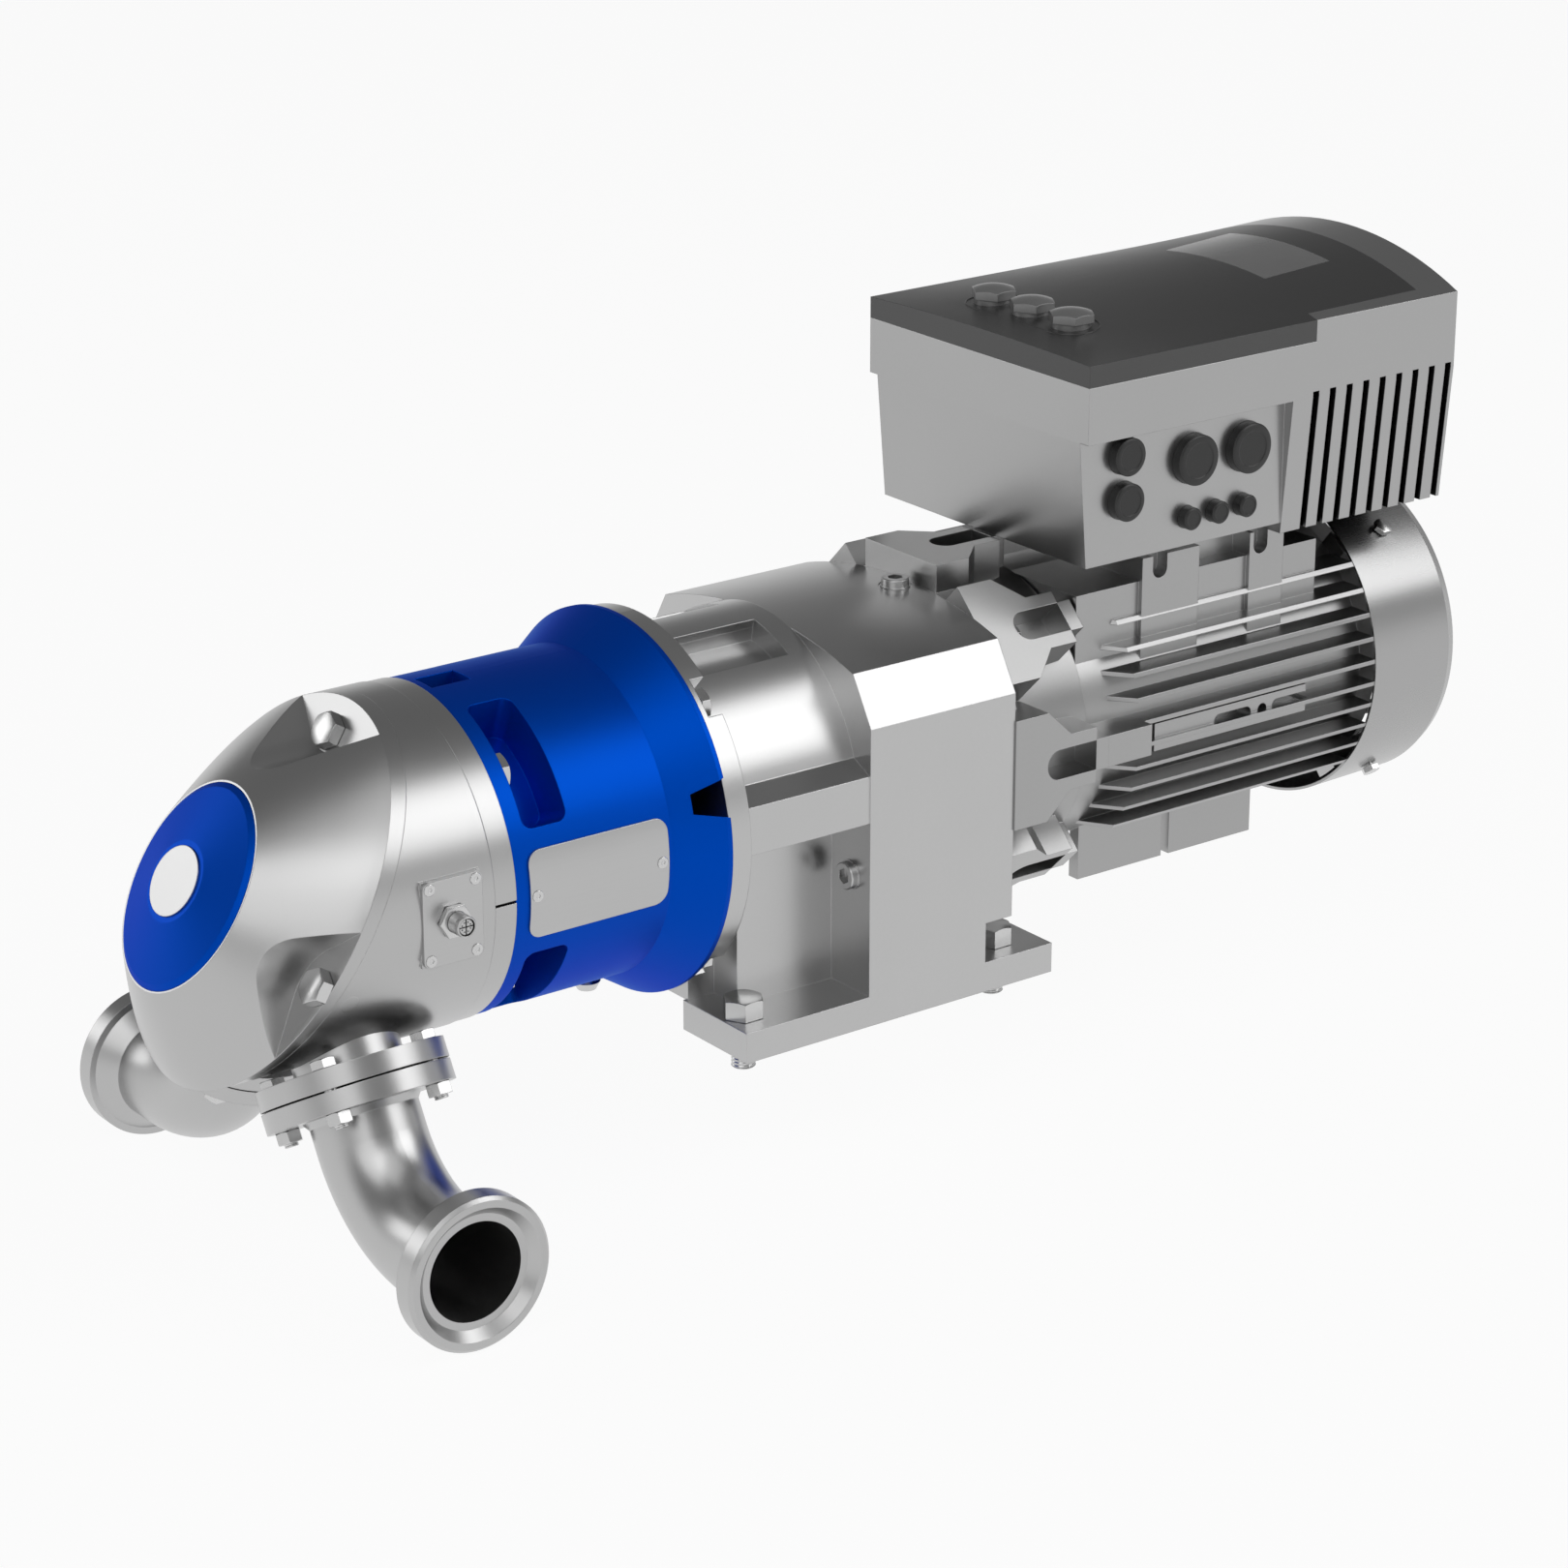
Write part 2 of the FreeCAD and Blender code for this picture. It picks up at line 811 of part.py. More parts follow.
def cover_room(name, start, length):
    """A slab of the tilted cover frame, wider than the head."""
    reach = size.head_radius * 2
    slab = box(f"{name}_slab", (reach * 2, reach * 2, length), (-reach, -reach, start))
    return on_cover(group(name, [slab]))


def cover_bolt_places():
    """Across and along y of each cover bolt, the first at the top."""
    sides = [(size.cover_bolt_circle * sine(angle), size.cover_bolt_circle * cosine(angle))
             for angle in (90 - size.cover_bolt_spacing, 90 + size.cover_bolt_spacing)]
    return [(size.top_bolt_reach, 0)] + sides


def pump_head_casing():
    barrel_length = size.chamber_setback + size.head_radius
    barrel = rod("head_barrel", size.head_radius, barrel_length, (seam_x - barrel_length, 0, shaft_z))
    pad = box("sensor_pad", (size.sensor_plate_length, size.sensor_pad_depth,
                             size.sensor_plate_height),
              (sensor_x - size.sensor_plate_length / 2, -size.sensor_pad_face,
               shaft_z - size.sensor_plate_height / 2))
    flat = box("sensor_flat", (size.sensor_plate_length, size.sensor_pad_depth,
                               size.sensor_plate_height),
               (sensor_x - size.sensor_plate_length / 2,
                -(size.sensor_pad_face + size.sensor_pad_depth),
                shaft_z - size.sensor_plate_height / 2))
    shaped = cut("head_shaped", barrel, cover_room("cover_space", -size.cover_flange,
                                                   size.head_radius * 2), flat)
    stub_start = size.port_flange_seat / 2
    stub = rod("port_stub", size.pipe_radius, size.port_flange_seat - stub_start,
               (0, 0, stub_start), "z")
    flange = rod("port_flange", size.port_flange_radius, size.port_flange_thickness,
                 (0, 0, size.port_flange_seat), "z")
    near_port = on_port(fuse("near_port", stub, flange))
    bore = on_port(group("near_port_bore", [
        rod("port_bore", size.pipe_bore_radius, size.port_flange_seat,
            (0, 0, root(size.chamber_radius * size.chamber_radius
                        - size.pipe_bore_radius * size.pipe_bore_radius) - CLEAR), "z")]))
    holes = on_port(group("near_port_holes", port_rods("port_hole", size.port_bolt_radius,
                                                       size.port_flange_seat,
                                                       size.port_flange_thickness)))
    solid = fuse("head_solid", shaped, pad, near_port, mirrored("far_port", near_port, "y"))
    seat = rod("seat_room", size.seat_outer_radius, size.seat_length,
               (chamber_x + size.seat_start, 0, shaft_z))
    crank_start = size.seat_start + size.seat_length
    crank = rod("crank_room", size.crank_room_radius, size.chamber_setback - crank_start,
                (chamber_x + crank_start, 0, shaft_z))
    threads = [rod(f"sensor_thread_{index}", size.small_screw_radius, size.small_screw_length,
                   (x, size.small_screw_length - size.sensor_pad_face, z), "-y")
               for index, (x, z) in enumerate(sensor_screws)]
    socket_hole = rod("socket_hole", size.socket_radius, size.socket_depth,
                      (sensor_x, size.socket_depth - size.sensor_pad_face, shaft_z), "-y")
    cover_threads = on_cover(group("cover_threads", [
        rod(f"cover_thread_{index}", size.cover_bolt_radius, size.cover_bolt_thread,
            (across, y, -size.cover_bolt_thread), "z")
        for index, (across, y) in enumerate(cover_bolt_places())]))
    lantern_threads = lantern_bolt_holes("lantern_thread", seam_x - size.lantern_bolt_thread,
                                         size.lantern_bolt_thread, size.lantern_bolt_radius)
    casing = cut("casing", solid, chamber_sweep, hub_room, bore,
                 mirrored("far_port_bore", bore, "y"), holes,
                 mirrored("far_port_holes", holes, "y"), seat, crank, socket_hole,
                 cover_threads, *threads, *lantern_threads)
    node("pump_head_casing", casing)


def port_rods(name, radius, start, length, flats=None):
    """Rods or hexagons round a port, in the port's own frame."""
    things = []
    for index in range(count("port_bolt_count")):
        angle = 360 / size.port_bolt_count * (index + 0.5)
        at = (size.port_bolt_circle * cosine(angle), size.port_bolt_circle * sine(angle), start)
        if flats is None:
            things.append(rod(f"{name}_{index}", radius, length, at, "z"))
        else:
            things.append(hexagon(f"{name}_{index}", flats, length, at, "z"))
    return things


def pocket(name, inner, slope, lean, turn):
    """A V-shaped bolt pocket with a round corner, its walls leaning, in the cover's frame."""
    corner = size.pocket_corner
    touch_up = corner - corner * cosine(slope)
    touch_out = corner * sine(slope)
    rise = sine(slope) / cosine(slope)
    end_out = touch_out + (size.head_radius - touch_up) / rise
    low = -size.head_radius
    notch = padded(f"{name}_notch", "XY_Plane", [
        (touch_up, -touch_out),
        (size.head_radius, -end_out),
        (size.head_radius, end_out),
        (touch_up, touch_out),
    ], size.head_radius * 3, (0, 0, low))
    round_corner = rod(f"{name}_corner", corner, size.head_radius * 3, (corner, 0, low), "z")
    leaning = tilt(fuse(f"{name}_walls", notch, round_corner), (inner, 0, 0),
                   Vector(0, -1, 0), lean)
    side = size.head_radius * 4
    above = box(f"{name}_space", (side, side, side), (-(side / 2), -(side / 2), 0))
    return tilt(common(name, leaning, above), (0, 0, 0), Vector(0, 0, 1), turn)


def oval_taper(name, levels, ruled=True):
    """A body through ovals, each given by its height, shift, long half and short half."""
    ovals = []
    for index, (height, shift, long_half, short_half) in enumerate(levels):
        oval = doc.addObject("Part::Ellipse", f"{name}_oval_{index}")
        bind(oval, MajorRadius=long_half, MinorRadius=short_half)
        ovals.append(place(oval, (shift, 0, height)))
    form = doc.addObject("Part::Loft", name)
    form.Sections = ovals
    form.Solid = True
    form.Ruled = ruled
    return form


def cover_form():
    """The bulging cover, lofted through ovals from the tilted joint up to the cap."""
    rim_long = size.head_radius / cosine(size.cover_tilt)
    levels = []
    for step in range(6):
        level = step / 5
        share = Dim(level ** float(size.cover_bulge), f"({level} ^ Sizes.cover_bulge)")
        long_half = rim_long + (size.cover_top_radius - rim_long) * share
        levels.append((size.cover_height * level, -(size.cover_top_drop * level), long_half,
                       long_half * cosine(size.cover_tilt)))
    return oval_taper("cover_form", levels, ruled=False)


def front_cover():
    pockets = [pocket("top_pocket", size.top_pocket_inner, size.top_pocket_slope,
                      size.cover_tilt, 0)]
    for name, side in (("near_pocket", 1), ("far_pocket", -1)):
        turn = -size.cover_bolt_spacing * side + 360 * (side > 0)
        pockets.append(pocket(name, size.side_pocket_inner, size.side_pocket_slope, 0, turn))
    spigot = rod("cap_spigot_room", size.cap_spigot_radius, size.cap_spigot_depth,
                 (-size.cover_top_drop, 0, size.cover_height - size.cap_spigot_depth), "z")
    blank = on_cover(cut("cover_blank", cover_form(), spigot, *pockets))
    barrel_length = size.chamber_setback + size.head_radius * 2
    barrel = rod("flange_barrel", size.head_radius, barrel_length,
                 (seam_x - barrel_length, 0, shaft_z))
    flange = common("cover_flange_ring", barrel,
                    cover_room("flange_space", -size.cover_flange, size.cover_flange))
    clearance = on_cover(group("cover_bolt_holes", [
        rod(f"cover_hole_{index}", size.cover_bolt_radius + size.hub_gap, size.cover_flange,
            (across, y, -size.cover_flange), "z")
        for index, (across, y) in enumerate(cover_bolt_places())]))
    node("front_cover", cut("cover", fuse("cover_whole", blank, flange), chamber_sweep,
                            hub_room, clearance))


def cover_fasteners():
    bolts = [bolt(f"cover_bolt_{index}", size.cover_bolt_flats, size.cover_bolt_head,
                  size.cover_bolt_radius, size.cover_bolt_thread, (across, y, 0), "z")
             for index, (across, y) in enumerate(cover_bolt_places())]
    node("front_cover_bolts", on_cover(group("cover_bolts", bolts)))


def front_cap():
    """The blue cap: an oval lid with a bevelled rim and a shallow dome."""
    base = size.cover_height
    shift = -size.cover_top_drop
    top = base + size.cap_bevel_height + size.cap_dome
    short = size.cap_radius * cosine(size.cover_tilt)
    rim = (base + size.cap_bevel_height, shift, size.cap_radius - size.cap_bevel,
           short - size.cap_bevel)
    wall = oval_taper("cap_wall", [(base, shift, size.cap_radius, short), rim])
    dome = oval_taper("cap_dome", [rim, (top, shift, size.cap_disc_radius + size.cap_bevel,
                                         size.cap_disc_radius + size.cap_dome_lead)])
    spigot = rod("cap_spigot", size.cap_spigot_radius, size.cap_spigot_depth,
                 (-size.cover_top_drop, 0, base - size.cap_spigot_depth), "z")
    seat = rod("disc_seat", size.cap_disc_radius, size.cap_disc_thickness,
               (-size.cover_top_drop, 0, top - size.cap_disc_thickness / 2), "z")
    shell = fuse("cap_shell", wall, dome, spigot)
    node("front_cap", on_cover(cut("cap", shell, seat)))
    disc = rod("cap_disc", size.cap_disc_radius, size.cap_disc_thickness,
               (-size.cover_top_drop, 0, top - size.cap_disc_thickness / 2), "z")
    node("cap_centre_disc", on_cover(group("cap_disc_place", [disc])))


def wobble_plate():
    half = size.plate_thickness / 2
    edge = ball("plate_edge", size.chamber_radius - size.hub_gap, (0, 0, 0))
    slab = rod("plate_slab", size.chamber_radius, size.plate_thickness, (0, 0, -half), "z")
    slot_half = size.barrier_thickness / 2 + size.barrier_gap
    slot = box("plate_slot", (size.chamber_radius, slot_half * 2, size.plate_thickness),
               (0, -slot_half, -half))
    plate = cut("plate_slotted", common("plate_disc", edge, slab), slot)
    hub = ball("plate_hub", size.hub_radius, (0, 0, 0))
    neck = rod("plate_neck", size.hub_neck_radius, size.hub_neck_length, (0, 0, 0), "z")
    bore = rod("plate_bore", size.hub_bore_radius, size.hub_neck_length + size.hub_bore_depth,
               (0, 0, -size.hub_bore_depth), "z")
    body = fuse("plate_body", plate, hub, neck)
    node("wobble_plate", on_crank(cut("plate", body, bore)))


def crank_bearings():
    starts = (-size.hub_bore_depth + CLEAR, size.hub_neck_length - size.crank_bearing_length)
    rings = [ring(f"crank_bearing_{index}", size.hub_bore_radius,
                  size.crank_pin_radius + size.running_gap, size.crank_bearing_length,
                  (0, 0, start), "z") for index, start in enumerate(starts)]
    node("crank_bearings", on_crank(group("crank_bearing_pair", rings)))


def barrier_plate():
    half = size.barrier_thickness / 2
    slab = box("barrier_slab", (lens_edge * 2, size.barrier_thickness, size.chamber_radius),
               (chamber_x - lens_edge, -half, shaft_z - size.chamber_radius))
    node("barrier_plate", cut("barrier", common("barrier_form", slab, chamber_sweep), hub_room))


def hub_seat():
    disc = rod("seat_disc", size.seat_outer_radius, size.seat_length,
               (chamber_x + size.seat_start, 0, shaft_z))
    node("hub_seat", cut("seat", disc, hub_room, chamber_sweep))


coupling_front = ring_x - size.coupling_setback - size.coupling_hub_length * 2 - size.coupling_jaw_length
pump_shaft_length = coupling_front + size.coupling_hub_length - seam_x


def pump_shaft():
    flange_x = seam_x - size.crank_flange_length
    pin_reach = (size.chamber_setback - size.crank_flange_length / 2) / cosine(size.wobble_tilt)
    pin = on_crank(group("crank_pin_place", [
        rod("crank_pin", size.crank_pin_radius, pin_reach + size.crank_pin_front,
            (0, 0, -size.crank_pin_front), "z")]))
    flange = rod("crank_flange", size.crank_flange_radius, size.crank_flange_length,
                 (flange_x, 0, shaft_z))
    bar = rod("pump_bar", size.pump_shaft_radius, pump_shaft_length, (seam_x, 0, shaft_z))
    node("pump_shaft", fuse("pump_shaft_solid", pin, flange, bar))


bearing_room = size.carrier_length - size.seal_width - size.carrier_lip


def bearing_carrier():
    collar = size.clamp_inner_radius - size.running_gap
    sleeve = size.carrier_radius - size.running_gap
    lip = (size.bearing_outer_radius + size.pump_shaft_radius) / 2
    node("bearing_carrier", turned("carrier", [
        (0, size.seal_radius),
        (0, collar),
        (size.clamp_length, collar),
        (size.clamp_length, sleeve),
        (size.carrier_length, sleeve),
        (size.carrier_length, lip),
        (size.carrier_length - size.carrier_lip, lip),
        (size.carrier_length - size.carrier_lip, size.bearing_outer_radius),
        (size.seal_width, size.bearing_outer_radius),
        (size.seal_width, size.seal_radius),
    ], (seam_x, 0, shaft_z)))


def bearing(name, outer, shaft, width, x, z):
    """A ball bearing drawn as a ring with a recessed shield on each face."""
    inner = shaft + size.running_gap
    race = (outer - shaft) / 4
    dip = width / 12
    return turned(name, [
        (0, inner),
        (0, inner + race),
        (dip, inner + race),
        (dip, outer - race),
        (0, outer - race),
        (0, outer),
        (width, outer),
        (width, outer - race),
        (width - dip, outer - race),
        (width - dip, inner + race),
        (width, inner + race),
        (width, inner),
    ], (x, 0, z))


def pump_bearings():
    starts = (size.seal_width, size.seal_width + bearing_room - size.bearing_width)
    rings = [bearing(f"pump_bearing_{index}", size.bearing_outer_radius, size.pump_shaft_radius,
                     size.bearing_width, seam_x + start, shaft_z)
             for index, start in enumerate(starts)]
    node("pump_bearings", group("pump_bearing_pair", rings))
    node("pump_shaft_seal", ring("pump_seal", size.seal_radius,
                                 size.pump_shaft_radius + size.running_gap, size.seal_width,
                                 (seam_x, 0, shaft_z)))


def clamp_ring():
    whole = turned("clamp_whole", [
        (0, size.clamp_inner_radius),
        (0, size.clamp_radius - size.clamp_chamfer),
        (size.clamp_chamfer, size.clamp_radius),
        (size.clamp_length, size.clamp_radius),
        (size.clamp_length, size.clamp_inner_radius),
    ], (seam_x, 0, shaft_z))
    slit = box("clamp_slit", (size.clamp_length, size.clamp_radius * 2, size.clamp_slit),
               (seam_x, -size.clamp_radius, shaft_z - size.clamp_slit / 2))
    holes = lantern_bolt_holes("clamp_hole", seam_x, size.clamp_length,
                               size.lantern_bolt_radius + size.hub_gap)
    node("clamp_ring_halves", cut("clamp_halves", whole, slit, *holes))


def lantern():
    wall_end = size.lantern_length - size.lantern_flare
    body = turned("lantern_body", [
        (0, size.carrier_radius),
        (0, size.lantern_radius),
        (wall_end, size.lantern_radius),
        (size.lantern_length - size.lantern_rim, size.lantern_rim_radius),
        (size.lantern_length, size.lantern_rim_radius),
        (size.lantern_length, size.ring_spigot_radius),
        (size.lantern_bore_depth, size.ring_spigot_radius),
        (size.lantern_bore_depth, size.carrier_radius),
    ], (lantern_x, 0, shaft_z))
    window_x = lantern_x + size.lantern_window_gap
    top = size.lantern_window_place + size.lantern_window_angle / 2
    opening = sector("window_blank", size.lantern_window_floor, size.lantern_rim_radius, top,
                     size.lantern_window_angle, (window_x, 0, shaft_z),
                     size.lantern_window_length)
    window = rounded("window", opening, size.lantern_window_corner, None)
    far = mirrored("window_far", window, "y")
    windows = [window, far, mirrored("window_low", window, "z"), mirrored("window_low_far", far, "z")]
    slots = []
    for name, rise in (("top_slot", size.lantern_window_floor), ("low_slot", -size.lantern_rim_radius)):
        depth = size.lantern_rim_radius - size.lantern_window_floor
        slots.append(box(name, (size.lantern_slot_length, size.lantern_slot_width, depth),
                         (lantern_x + size.lantern_window_gap / 2, -size.lantern_slot_width / 2,
                          shaft_z + rise)))
    notch = flare_notch()
    holes = lantern_bolt_holes("lantern_hole", lantern_x, size.lantern_window_gap,
                               size.lantern_bolt_radius + size.hub_gap)
    threads = ring_bolt_rods("lantern_rim_hole", ring_x - size.ring_bolt_thread,
                             size.ring_bolt_thread, size.ring_bolt_radius)
    boss = rod("drain_boss_hole", size.drain_boss_radius / 2, size.drain_boss_depth * 2,
               (ring_x - size.drain_boss_setback, 0, shaft_z - size.lantern_radius
                - size.drain_boss_depth), "z")
    screws = [rod(f"nameplate_thread_{index}", size.small_screw_radius, size.small_screw_length,
                  (x, size.small_screw_length - size.lantern_radius, shaft_z), "-y")
              for index, x in enumerate(nameplate_screw_places())]
    node("lantern", cut("lantern_solid", body, *windows, *slots, notch,
                        mirrored("notch_far", notch, "y"), boss, *holes, *threads, *screws))


def flare_notch():
    """A tapering cut through the flare, open to the ring."""
    low = size.notch_width / 4
    body = padded("notch", "XY_Plane", [
        (-size.notch_depth, -low),
        (0, -size.notch_width / 2),
        (0, size.notch_width / 2),
        (-size.notch_depth, low),
    ], size.lantern_rim_radius, (0, 0, size.ring_spigot_radius - CLEAR))
    return tilt(group("notch_place", [body]), (ring_x, 0, shaft_z), Vector(1, 0, 0),
                90 - size.notch_angle)


def nameplate_screw_places():
    middle = ring_x - size.nameplate_setback - size.nameplate_length / 2
    half = size.nameplate_screw_pitch / 2
    return [middle - half, middle + half]


def nameplate():
    outer = size.lantern_radius + size.nameplate_thickness
    start = ring_x - size.nameplate_setback - size.nameplate_length
    shell = ring("nameplate_shell", outer, size.lantern_radius, size.nameplate_length,
                 (start, 0, shaft_z))
    area = box("nameplate_block", (size.nameplate_length, size.lantern_radius,
                                   size.nameplate_height),
               (start, -outer, shaft_z - size.nameplate_height / 2))
    area = rounded("nameplate_area", area, size.nameplate_corner, (0, 1, 0))
    holes = [rod(f"nameplate_hole_{index}", size.small_screw_radius, outer, (x, 0, shaft_z), "-y")
             for index, x in enumerate(nameplate_screw_places())]
    node("nameplate", cut("nameplate_bare", common("nameplate_form", shell, area), *holes))


def countersunk(name, at):
    """A small screw at low y: a flat round head on a shank, its seat at a point."""
    head = rod(f"{name}_head", size.small_screw_head, size.small_screw_head_height, at, "-y")
    shank = rod(f"{name}_shank", size.small_screw_radius, size.small_screw_length, at, "y")
    hexagon_hole = hexagon(f"{name}_socket", size.small_screw_radius, size.small_screw_head_height,
                           (at[0], at[1] - size.small_screw_head_height / 2, at[2]), "-y")
    return cut(name, fuse(f"{name}_body", head, shank), hexagon_hole)


def plate_screws():
    """The six small screws of the nameplate and the sensor plate."""
    seat = size.lantern_radius + size.nameplate_thickness
    face = size.sensor_pad_face + size.sensor_plate_thickness
    places = [(x, -seat, shaft_z) for x in nameplate_screw_places()]
    places += [(x, -face, z) for x, z in sensor_screws]
    screws = [countersunk(f"plate_screw_{index}", at) for index, at in enumerate(places)]
    node("plate_screws", group("plate_screw_set", screws))


def sensor_group():
    face = size.sensor_pad_face + size.sensor_plate_thickness
    sheet_blank = box("sensor_blank", (size.sensor_plate_length, size.sensor_plate_thickness,
                                       size.sensor_plate_height),
                      (sensor_x - size.sensor_plate_length / 2, -face,
                       shaft_z - size.sensor_plate_height / 2))
    plate = rounded("sensor_sheet", sheet_blank, size.sensor_corner, (0, 1, 0))
    holes = [rod(f"sensor_hole_{index}", size.small_screw_radius, size.sensor_plate_thickness,
                 (x, -size.sensor_pad_face, z), "-y") for index, (x, z) in enumerate(sensor_screws)]
    middle = rod("sensor_middle", size.socket_radius, size.sensor_plate_thickness,
                 (sensor_x, -size.sensor_pad_face, shaft_z), "-y")
    node("sensor_plate", cut("sensor_plate_solid", plate, middle, *holes))
    tail = size.socket_depth - size.socket_length / 4
    start = -size.sensor_pad_face + tail
    barrel = rod("socket_barrel", size.socket_radius, tail + size.sensor_plate_thickness
                 + size.socket_length, (sensor_x, start, shaft_z), "-y")
    floor = -face - size.socket_length + size.socket_mouth_depth
    mouth = rod("socket_mouth", size.socket_mouth_radius, size.socket_mouth_depth,
                (sensor_x, floor, shaft_z), "-y")
    pins = []
    for index in range(4):
        angle = 90 * index + size.socket_pin_place
        pins.append(rod(f"socket_pin_{index}", size.socket_pin_radius, size.socket_pin_length,
                        (sensor_x + size.socket_pin_circle * cosine(angle), floor,
                         shaft_z + size.socket_pin_circle * sine(angle)), "-y"))
    node("sensor_socket", fuse("socket", cut("socket_shell", barrel, mouth), *pins))
    nut = hexagon("socket_nut_hex", size.socket_nut_flats, size.socket_nut_height,
                  (sensor_x, -face, shaft_z), "-y")
    hole = rod("socket_nut_hole", size.socket_radius, size.socket_nut_height,
               (sensor_x, -face, shaft_z), "-y")
    node("sensor_socket_nut", cut("socket_nut", nut, hole))


def ring_bolt_rods(name, start, length, radius):
    rods = []
    for index, angle in enumerate(four_places(size.ring_bolt_place)):
        y, z = around(size.ring_bolt_circle, angle)
        rods.append(rod(f"{name}_{index}", radius, length, (start, y, z)))
    return rods


ring_web = size.ring_length / 3


def mounting_ring():
    body = turned("ring_body", [
        (-size.ring_spigot_length, size.output_seal_radius),
        (-size.ring_spigot_length, size.ring_spigot_radius),
        (0, size.ring_spigot_radius),
        (0, size.ring_radius),
        (size.ring_length, size.ring_radius),
        (size.ring_length, size.output_seal_radius),
    ], (ring_x, 0, shaft_z))
    depth = size.ring_length - ring_web
    cutout = box("cutout", (depth, size.ring_cutout_width, size.ring_radius),
                 (0, -size.ring_cutout_width / 2, size.ring_bolt_circle - size.ring_cutout_inset))
    first = tilt(group("cutout_place", [cutout]), (ring_x + ring_web, 0, shaft_z),
                 Vector(1, 0, 0), 90 - size.ring_bolt_place)
    far = mirrored("cutout_far", first, "y")
    cutouts = [first, far, mirrored("cutout_low", first, "z"), mirrored("cutout_low_far", far, "z")]
    holes = ring_bolt_rods("ring_hole", ring_x, ring_web, size.ring_bolt_radius + size.hub_gap)
    node("mounting_ring", cut("ring_solid", body, *cutouts, *holes))


def ring_bolts():
    bolts = []
    for index, angle in enumerate(four_places(size.ring_bolt_place)):
        y, z = around(size.ring_bolt_circle, angle)
        bolts.append(bolt(f"ring_bolt_{index}", size.ring_bolt_flats, size.ring_bolt_head,
                          size.ring_bolt_radius, ring_web + size.ring_bolt_thread,
                          (ring_x + ring_web, y, z), "x"))
    node("ring_bolts", group("ring_bolt_set", bolts))


def lantern_bolts():
    bolts = []
    seat = lantern_x + size.lantern_window_gap
    shank = size.lantern_window_gap + size.clamp_length + size.lantern_bolt_thread
    for index, angle in enumerate(four_places(size.lantern_window_place)):
        y, z = around(size.lantern_bolt_circle, angle)
        bolts.append(bolt(f"lantern_bolt_{index}", size.lantern_bolt_flats,
                          size.lantern_bolt_head, size.lantern_bolt_radius, shank,
                          (seat, y, z), "x"))
    node("lantern_bolts", group("lantern_bolt_set", bolts))


def lantern_drain_plug():
    x = ring_x - size.drain_boss_setback
    low = shaft_z - size.lantern_radius - size.drain_boss_depth
    knob = cone("drain_knob", size.drain_knob_end_radius, size.drain_boss_radius,
                size.drain_knob_height, (x, 0, low), "z")
    stem = rod("drain_stem", size.drain_boss_radius / 2,
               size.drain_boss_depth * 2 - size.drain_knob_height,
               (x, 0, low + size.drain_knob_height), "z")
    node("lantern_drain_plug", fuse("drain_plug_low", knob, stem))


port_seam = size.port_flange_seat + size.port_flange_thickness
elbow_seat = port_seam + size.gasket_thickness
elbow_corner = size.elbow_drop / cosine(size.port_angle)
bend_angle = 90 - size.port_angle
bend_end = size.elbow_reach - size.elbow_straight
bend_tangent = bend_end - elbow_corner * sine(size.port_angle)
elbow_bend = bend_tangent * cosine(bend_angle / 2) / sine(bend_angle / 2)


def elbow_pipe(name, radius):
    """A pipe along the port, round the bend and out towards low y."""
    start = elbow_corner - bend_tangent - elbow_seat
    upper = on_port(group(f"{name}_upper", [rod(f"{name}_port", radius, start,
                                                (0, 0, elbow_seat), "z")]))
    bend = doc.addObject("Part::Torus", f"{name}_bend")
    bind(bend, Radius1=elbow_bend, Radius2=radius, Angle3=bend_angle)
    place(bend, (chamber_x, -bend_end, shaft_z - size.elbow_drop + elbow_bend), TURNS["x"])
    lower = rod(f"{name}_lower", radius, size.elbow_reach - bend_end,
                (chamber_x, -bend_end, shaft_z - size.elbow_drop), "-y")
    return [upper, bend, lower]


def elbows():
    rim = size.elbow_reach - size.coupling_rim_width
    coupling = turned("dairy_coupling", [
        (rim - size.coupling_neck_length, size.pipe_bore_radius),
        (rim - size.coupling_neck_length, size.pipe_radius),
        (rim, size.coupling_rim_radius - size.coupling_rim_chamfer * 2),
        (rim, size.coupling_rim_radius),
        (size.elbow_reach - size.coupling_rim_chamfer, size.coupling_rim_radius),
        (size.elbow_reach, size.coupling_rim_radius - size.coupling_rim_chamfer),
        (size.elbow_reach, size.coupling_groove_radius),
        (size.elbow_reach - size.coupling_liner_setback, size.coupling_liner_radius),
        (size.elbow_reach - size.coupling_liner_setback, size.pipe_bore_radius),
    ], (chamber_x, 0, shaft_z - size.elbow_drop), Rotation(Vector(0, 0, 1), -90))
    mouth = rod("coupling_mouth", size.coupling_liner_radius, size.elbow_reach,
                (chamber_x, size.coupling_liner_setback - size.elbow_reach,
                 shaft_z - size.elbow_drop), "-y")
    flange = rod("elbow_flange", size.port_flange_radius, size.port_flange_thickness,
                 (0, 0, elbow_seat), "z")
    weld = cone("elbow_weld", size.elbow_weld_radius, size.pipe_radius, size.elbow_weld_length,
                (0, 0, elbow_seat + size.port_flange_thickness), "z")
    top = on_port(fuse("elbow_top", flange, weld))
    outside = fuse("elbow_outside", top, *elbow_pipe("elbow_wall", size.pipe_radius))
    holes = on_port(group("elbow_holes", port_rods("elbow_hole", size.port_bolt_radius,
                                                   elbow_seat, size.port_flange_thickness)))
    shell = cut("elbow_shell", outside, holes, mouth, *elbow_pipe("elbow_bore",
                                                                  size.pipe_bore_radius))
    near = fuse("elbow", shell, coupling)
    node("outlet_elbow", near)
    node("inlet_elbow", mirrored("far_elbow", near, "y"))


